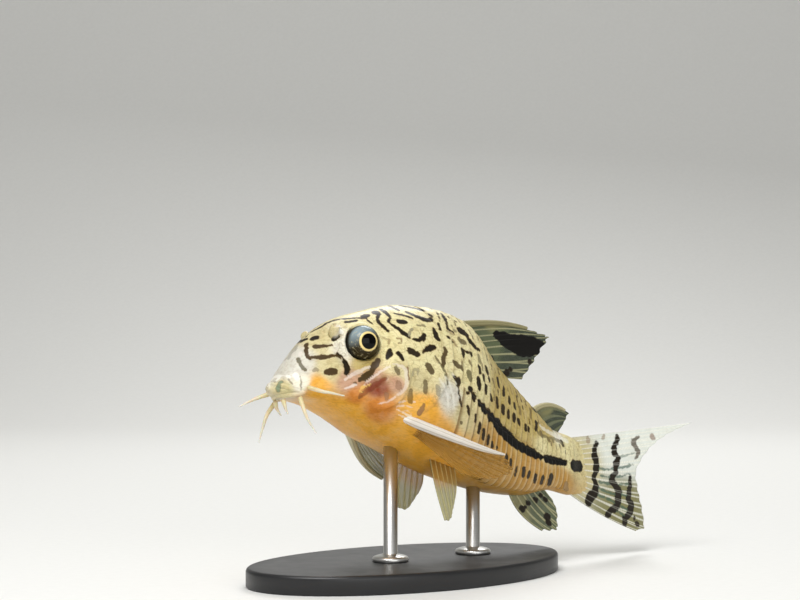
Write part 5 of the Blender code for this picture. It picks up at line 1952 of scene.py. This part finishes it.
@dataclass
class Stand:
    """The display stand: a low oval foot and two upright rods with collars, turned and polished."""

    size: tuple = (46.0, 27.0, 2.4)
    rounding: float = 0.5
    rod_radius: float = 0.9
    rods: tuple = (("stand_rod_front", 19.2), ("stand_rod_rear", 33.6))
    depth: float = 1.8
    collar: tuple = (2.3, 0.9)

    def foot(self, material: Material) -> None:
        """Adds the foot: ovals whose inset follows a quarter round at the top and a small one below.

        Args:
            material: Its finish.
        """
        turn = np.linspace(0, 2 * math.pi, 192, endpoint=False)
        oval = np.stack([np.cos(turn), np.sin(turn), 0 * turn], -1)
        length, width, height = self.size
        quarter = np.linspace(0, math.pi / 2, 9)
        r = self.rounding
        levels = [(0.0, 0.15), (0.15, 0.0)]
        levels += [(height - r + r * math.sin(q), r - r * math.cos(q)) for q in quarter]
        levels += [(height, inset) for inset in (1.5, 4.0, 8.0, 11.0)]
        rings = [oval * (length / 2 - inset, width / 2 - inset, 0) + (0, 0, z) for z, inset in levels]
        points, faces = closed_rings(np.array(rings), np.zeros(3), np.array((0, 0, height)))
        add_piece("stand_foot_plate", points, faces, material, ("stand_foot",), straight=False)

    def rod(self, name: str, x: float, material: Material) -> None:
        """Adds one rod and its collar, turned from a profile of height and radius.

        Args:
            name: The rod's CAD node.
            x: Place along the fish that it carries.
            material: Its finish.
        """
        at = POSE.place(np.array([TRUNK.belly(x, 0.0)]))[0] / MM
        start = self.size[2]
        wide, tall = self.collar
        r = self.rod_radius
        profile = [(0.0, wide - 0.08), (0.08, wide), (tall * 0.45, wide), (tall * 0.55, wide - 0.05)]
        fall = wide - r - 0.3
        profile += [(tall * (0.6 + 0.4 * t), wide - 0.05 - fall * t**1.6) for t in (0.2, 0.5, 0.8, 1.0)]
        profile += [(tall + 0.02, r + 0.12), (tall + 0.14, r), (at[2] + self.depth - start, r)]
        turn = np.linspace(0, 2 * math.pi, 96, endpoint=False)
        circle = np.stack([np.cos(turn), np.sin(turn), 0 * turn], -1)
        base = np.array((at[0], at[1], start))
        rings = np.array([base + circle * radius + (0, 0, z) for z, radius in profile])
        points, faces = closed_rings(rings, base, base + (0, 0, profile[-1][0]))
        add_piece(f"{name}_turned", points, faces, material, (name,), straight=False)

    def build(self, foot: Material, steel: Material) -> None:
        """Adds the foot and the rods.

        Args:
            foot: Finish of the foot.
            steel: Finish of the rods.
        """
        self.foot(foot)
        for name, x in self.rods:
            self.rod(name, x, steel)


@dataclass
class Studio:
    """The pale floor with its cove, and soft lights round the fish."""

    floor: float = 1.2
    flat: float = 0.45  # share of the sheet that lies flat
    bent: float = 0.35  # share that bends up in the cove
    cove: float = 250.0  # millimetres
    wall: float = 1200.0
    lights: tuple = (  # name, place in metres, size in metres, watts
        ("key", (-0.20, -0.12, 0.34), 0.20, 1.22),
        ("fill", (-0.10, -0.38, 0.07), 0.34, 0.60),
        ("rim", (0.22, 0.20, 0.30), 0.16, 0.7),
    )
    aim: tuple = (0.004, 0.0, 0.021)
    air: str = "#f0efec"
    glow: float = 0.36

    def build(self, material: Material) -> None:
        """Adds the floor, the lights and the pale surroundings.

        Args:
            material: Finish of the floor.
        """
        t = np.linspace(0, 1, 60)
        reach, flat, rise = self.floor / MM, t < self.flat, self.flat + self.bent
        bend = np.clip((t - self.flat) / self.bent, 0, 1) * math.pi / 2
        ahead = -reach + t / self.flat * 1.25 * reach
        depth = np.where(flat, ahead, 0.25 * reach + self.cove * np.sin(bend))
        height = np.where(flat, 0.0, self.cove * (1 - np.cos(bend)))
        height = height + np.clip((t - rise) / (1 - rise), 0, 1) * self.wall
        right, forward = CAMERA.axes()
        across = np.linspace(-1, 1, 30)[None, :, None] * right * 2 * reach
        sheet = depth[:, None, None] * forward + height[:, None, None] * np.array((0, 0, 1.0)) + across
        points, faces = slab(sheet, sheet - np.array((0, 0, 2.0)))
        mesh = bpy.data.meshes.new("floor")
        mesh.from_pydata((points * MM).tolist(), [], outward(points, faces))
        mesh.materials.append(material)
        mesh.shade_smooth()
        floor = bpy.data.objects.new("floor", mesh)
        bpy.context.scene.collection.objects.link(floor)
        for light in self.lights:
            self.light(*light)
        world = bpy.data.worlds.new("pale_room")
        bpy.context.scene.world = world
        world.use_nodes = True
        background = world.node_tree.nodes["Background"]
        background.inputs["Color"].default_value = linear(self.air)
        background.inputs["Strength"].default_value = self.glow

    def light(self, name: str, at: tuple[float, float, float], size: float, power: float) -> None:
        """Adds a square soft light that faces the fish.

        Args:
            name: Name of the light.
            at: Its place, in metres.
            size: Its side, in metres.
            power: Its power, in watts.
        """
        data = bpy.data.lights.new(name, "AREA")
        data.size = size
        data.energy = power
        lamp = bpy.data.objects.new(name, data)
        bpy.context.scene.collection.objects.link(lamp)
        lamp.location = at
        way = np.array(self.aim) - np.array(at)
        yaw, pitch = math.atan2(way[1], way[0]), math.atan2(-way[2], math.hypot(way[0], way[1]))
        lamp.rotation_euler = (0.0, pitch - math.pi / 2, yaw)


@dataclass
class Fish:
    """The whole fish: its pieces, and the paint laid over them."""

    plated: tuple = (24.5, 49.0)  # x between which the scutes hide the skin
    plated_middle: float = 2.0
    plated_half: float = 6.0
    past_crest: float = 0.8
    shown: tuple = (0.05, 1.01)  # share along a scute that is painted as seen
    dash_gap: float = 0.35

    def body(self) -> None:
        """Adds the skin and the scutes, painted as one surface."""
        points, faces = Skin().build()
        normals = vertex_normals(points, faces)
        plates = {side: Scutes().build(side) for side in Side}
        left, left_faces, _, share = plates[Side.LEFT]
        shown = (share > self.shown[0]) & (share < self.shown[1])
        x, y, z = points.T
        beside = np.abs(z - self.plated_middle) < self.plated_half
        covered = (x > self.plated[0]) & (x < self.plated[1]) & beside
        own = ~covered & (y < self.past_crest)
        surface = np.concatenate([points[own], left[shown]])
        outwards = np.concatenate([normals[own], vertex_normals(left, left_faces)[shown]])
        paint = Paint(Canvas(surface, outwards), both_sides=True)
        marks = [paint.laid(mark) for mark in SNOUT_MARKS + HEAD_MARKS + FLANK_MARKS]
        dashes = Scutes().dashes()
        clear, _ = paint.strokes(np.array([dash.line[2] for dash in dashes]), marks)
        marks += [dash for dash, gap in zip(dashes, clear) if gap > self.dash_gap]
        skin = PaintedSkin("painted_resin_skin").build()
        plated = PaintedSkin("painted_resin_scutes", plates=True).build()
        edge, tone = paint.strokes(points, marks)
        values = {"tint": paint.ground(points, BODY_WASHES), "mark": edge, "tone": tone}
        values["lined"] = smoothstep(-4.5, -0.5, z) * smoothstep(2.0, 6.0, x)
        add_piece("skin", points, faces, skin, ("head", "torso", "tail"), values)
        for side, (points, faces, rimmed, v) in plates.items():
            edge, tone = paint.strokes(points, marks)
            values = {"tint": paint.ground(points, BODY_WASHES), "mark": edge, "tone": tone}
            values |= {"plate_v": v, "rimmed": rimmed, "lined": smoothstep(-3.0, 1.0, points[:, 2])}
            add_piece(f"scutes_{side.name.lower()}", points, faces, plated, values=values)

    def fins(self) -> None:
        """Adds the fins, each painted on its own surface."""
        films = {
            "fin_dorsal": FinFilm(
                "fin_film_dorsal", web=0.80, length=17.0, ray_colour="#b3af88", spine="#98916a",
            ),
            "fin_adipose": FinFilm(
                "fin_film_adipose", web=0.80, length=6.0, ray_colour="#7d8062", spine="#b5ad86",
            ),
            "fin_caudal": FinFilm(
                "fin_film_caudal", web=0.85, length=18.0, ray_colour="#f0efe2", ray_bare=0.3, smoke=0.15,
            ),
            "fin_anal": FinFilm("fin_film_anal", web=0.78, length=8.0, ray_colour="#c2bc92"),
            "fin_pectoral_left": FinFilm(
                "fin_film_pectoral", web=0.45, length=14.0, strength=0.45, ray_colour="#94692a",
                ray_cover=0.65, spine="#fbf8f0", smoke=0.1,
            ),
        }
        shared = FinFilm(
            "fin_film_paired", web=0.62, length=12.0, strength=0.38, ray_colour="#ddd39c", spine="#e6ddb8",
            smoke=0.2,
        ).build()
        for fin in fins():
            points, faces, values = fin.build()
            paint = Paint(Canvas(points))
            values["tint"] = paint.ground(points, FIN_WASHES[fin.name])
            marks = [paint.laid(mark) for mark in FIN_MARKS.get(fin.name, ())]
            values["mark"], values["tone"] = paint.strokes(points, marks)
            material = films[fin.name].build() if fin.name in films else shared
            add_piece(f"{fin.name}_rays", points, faces, material, (fin.name,), values)

    def build(self) -> None:
        """Adds every piece of the fish."""
        self.body()
        self.fins()
        Barbels().build(BarbelRubber().build())
        Eyes().build(GlassEye().build())


def main() -> None:
    """Builds the fish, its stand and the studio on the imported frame."""
    logging.basicConfig(level=logging.INFO, format="%(message)s")
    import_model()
    scene = bpy.context.scene
    scene.view_settings.view_transform = "Standard"
    CAMERA.build()
    foot, steel = SatinPaint().build(), TurnedSteel().build()
    Fish().build()
    Stand().build(foot, steel)
    Studio().build(PaperSweep().build())


if __name__ == "__main__":
    main()
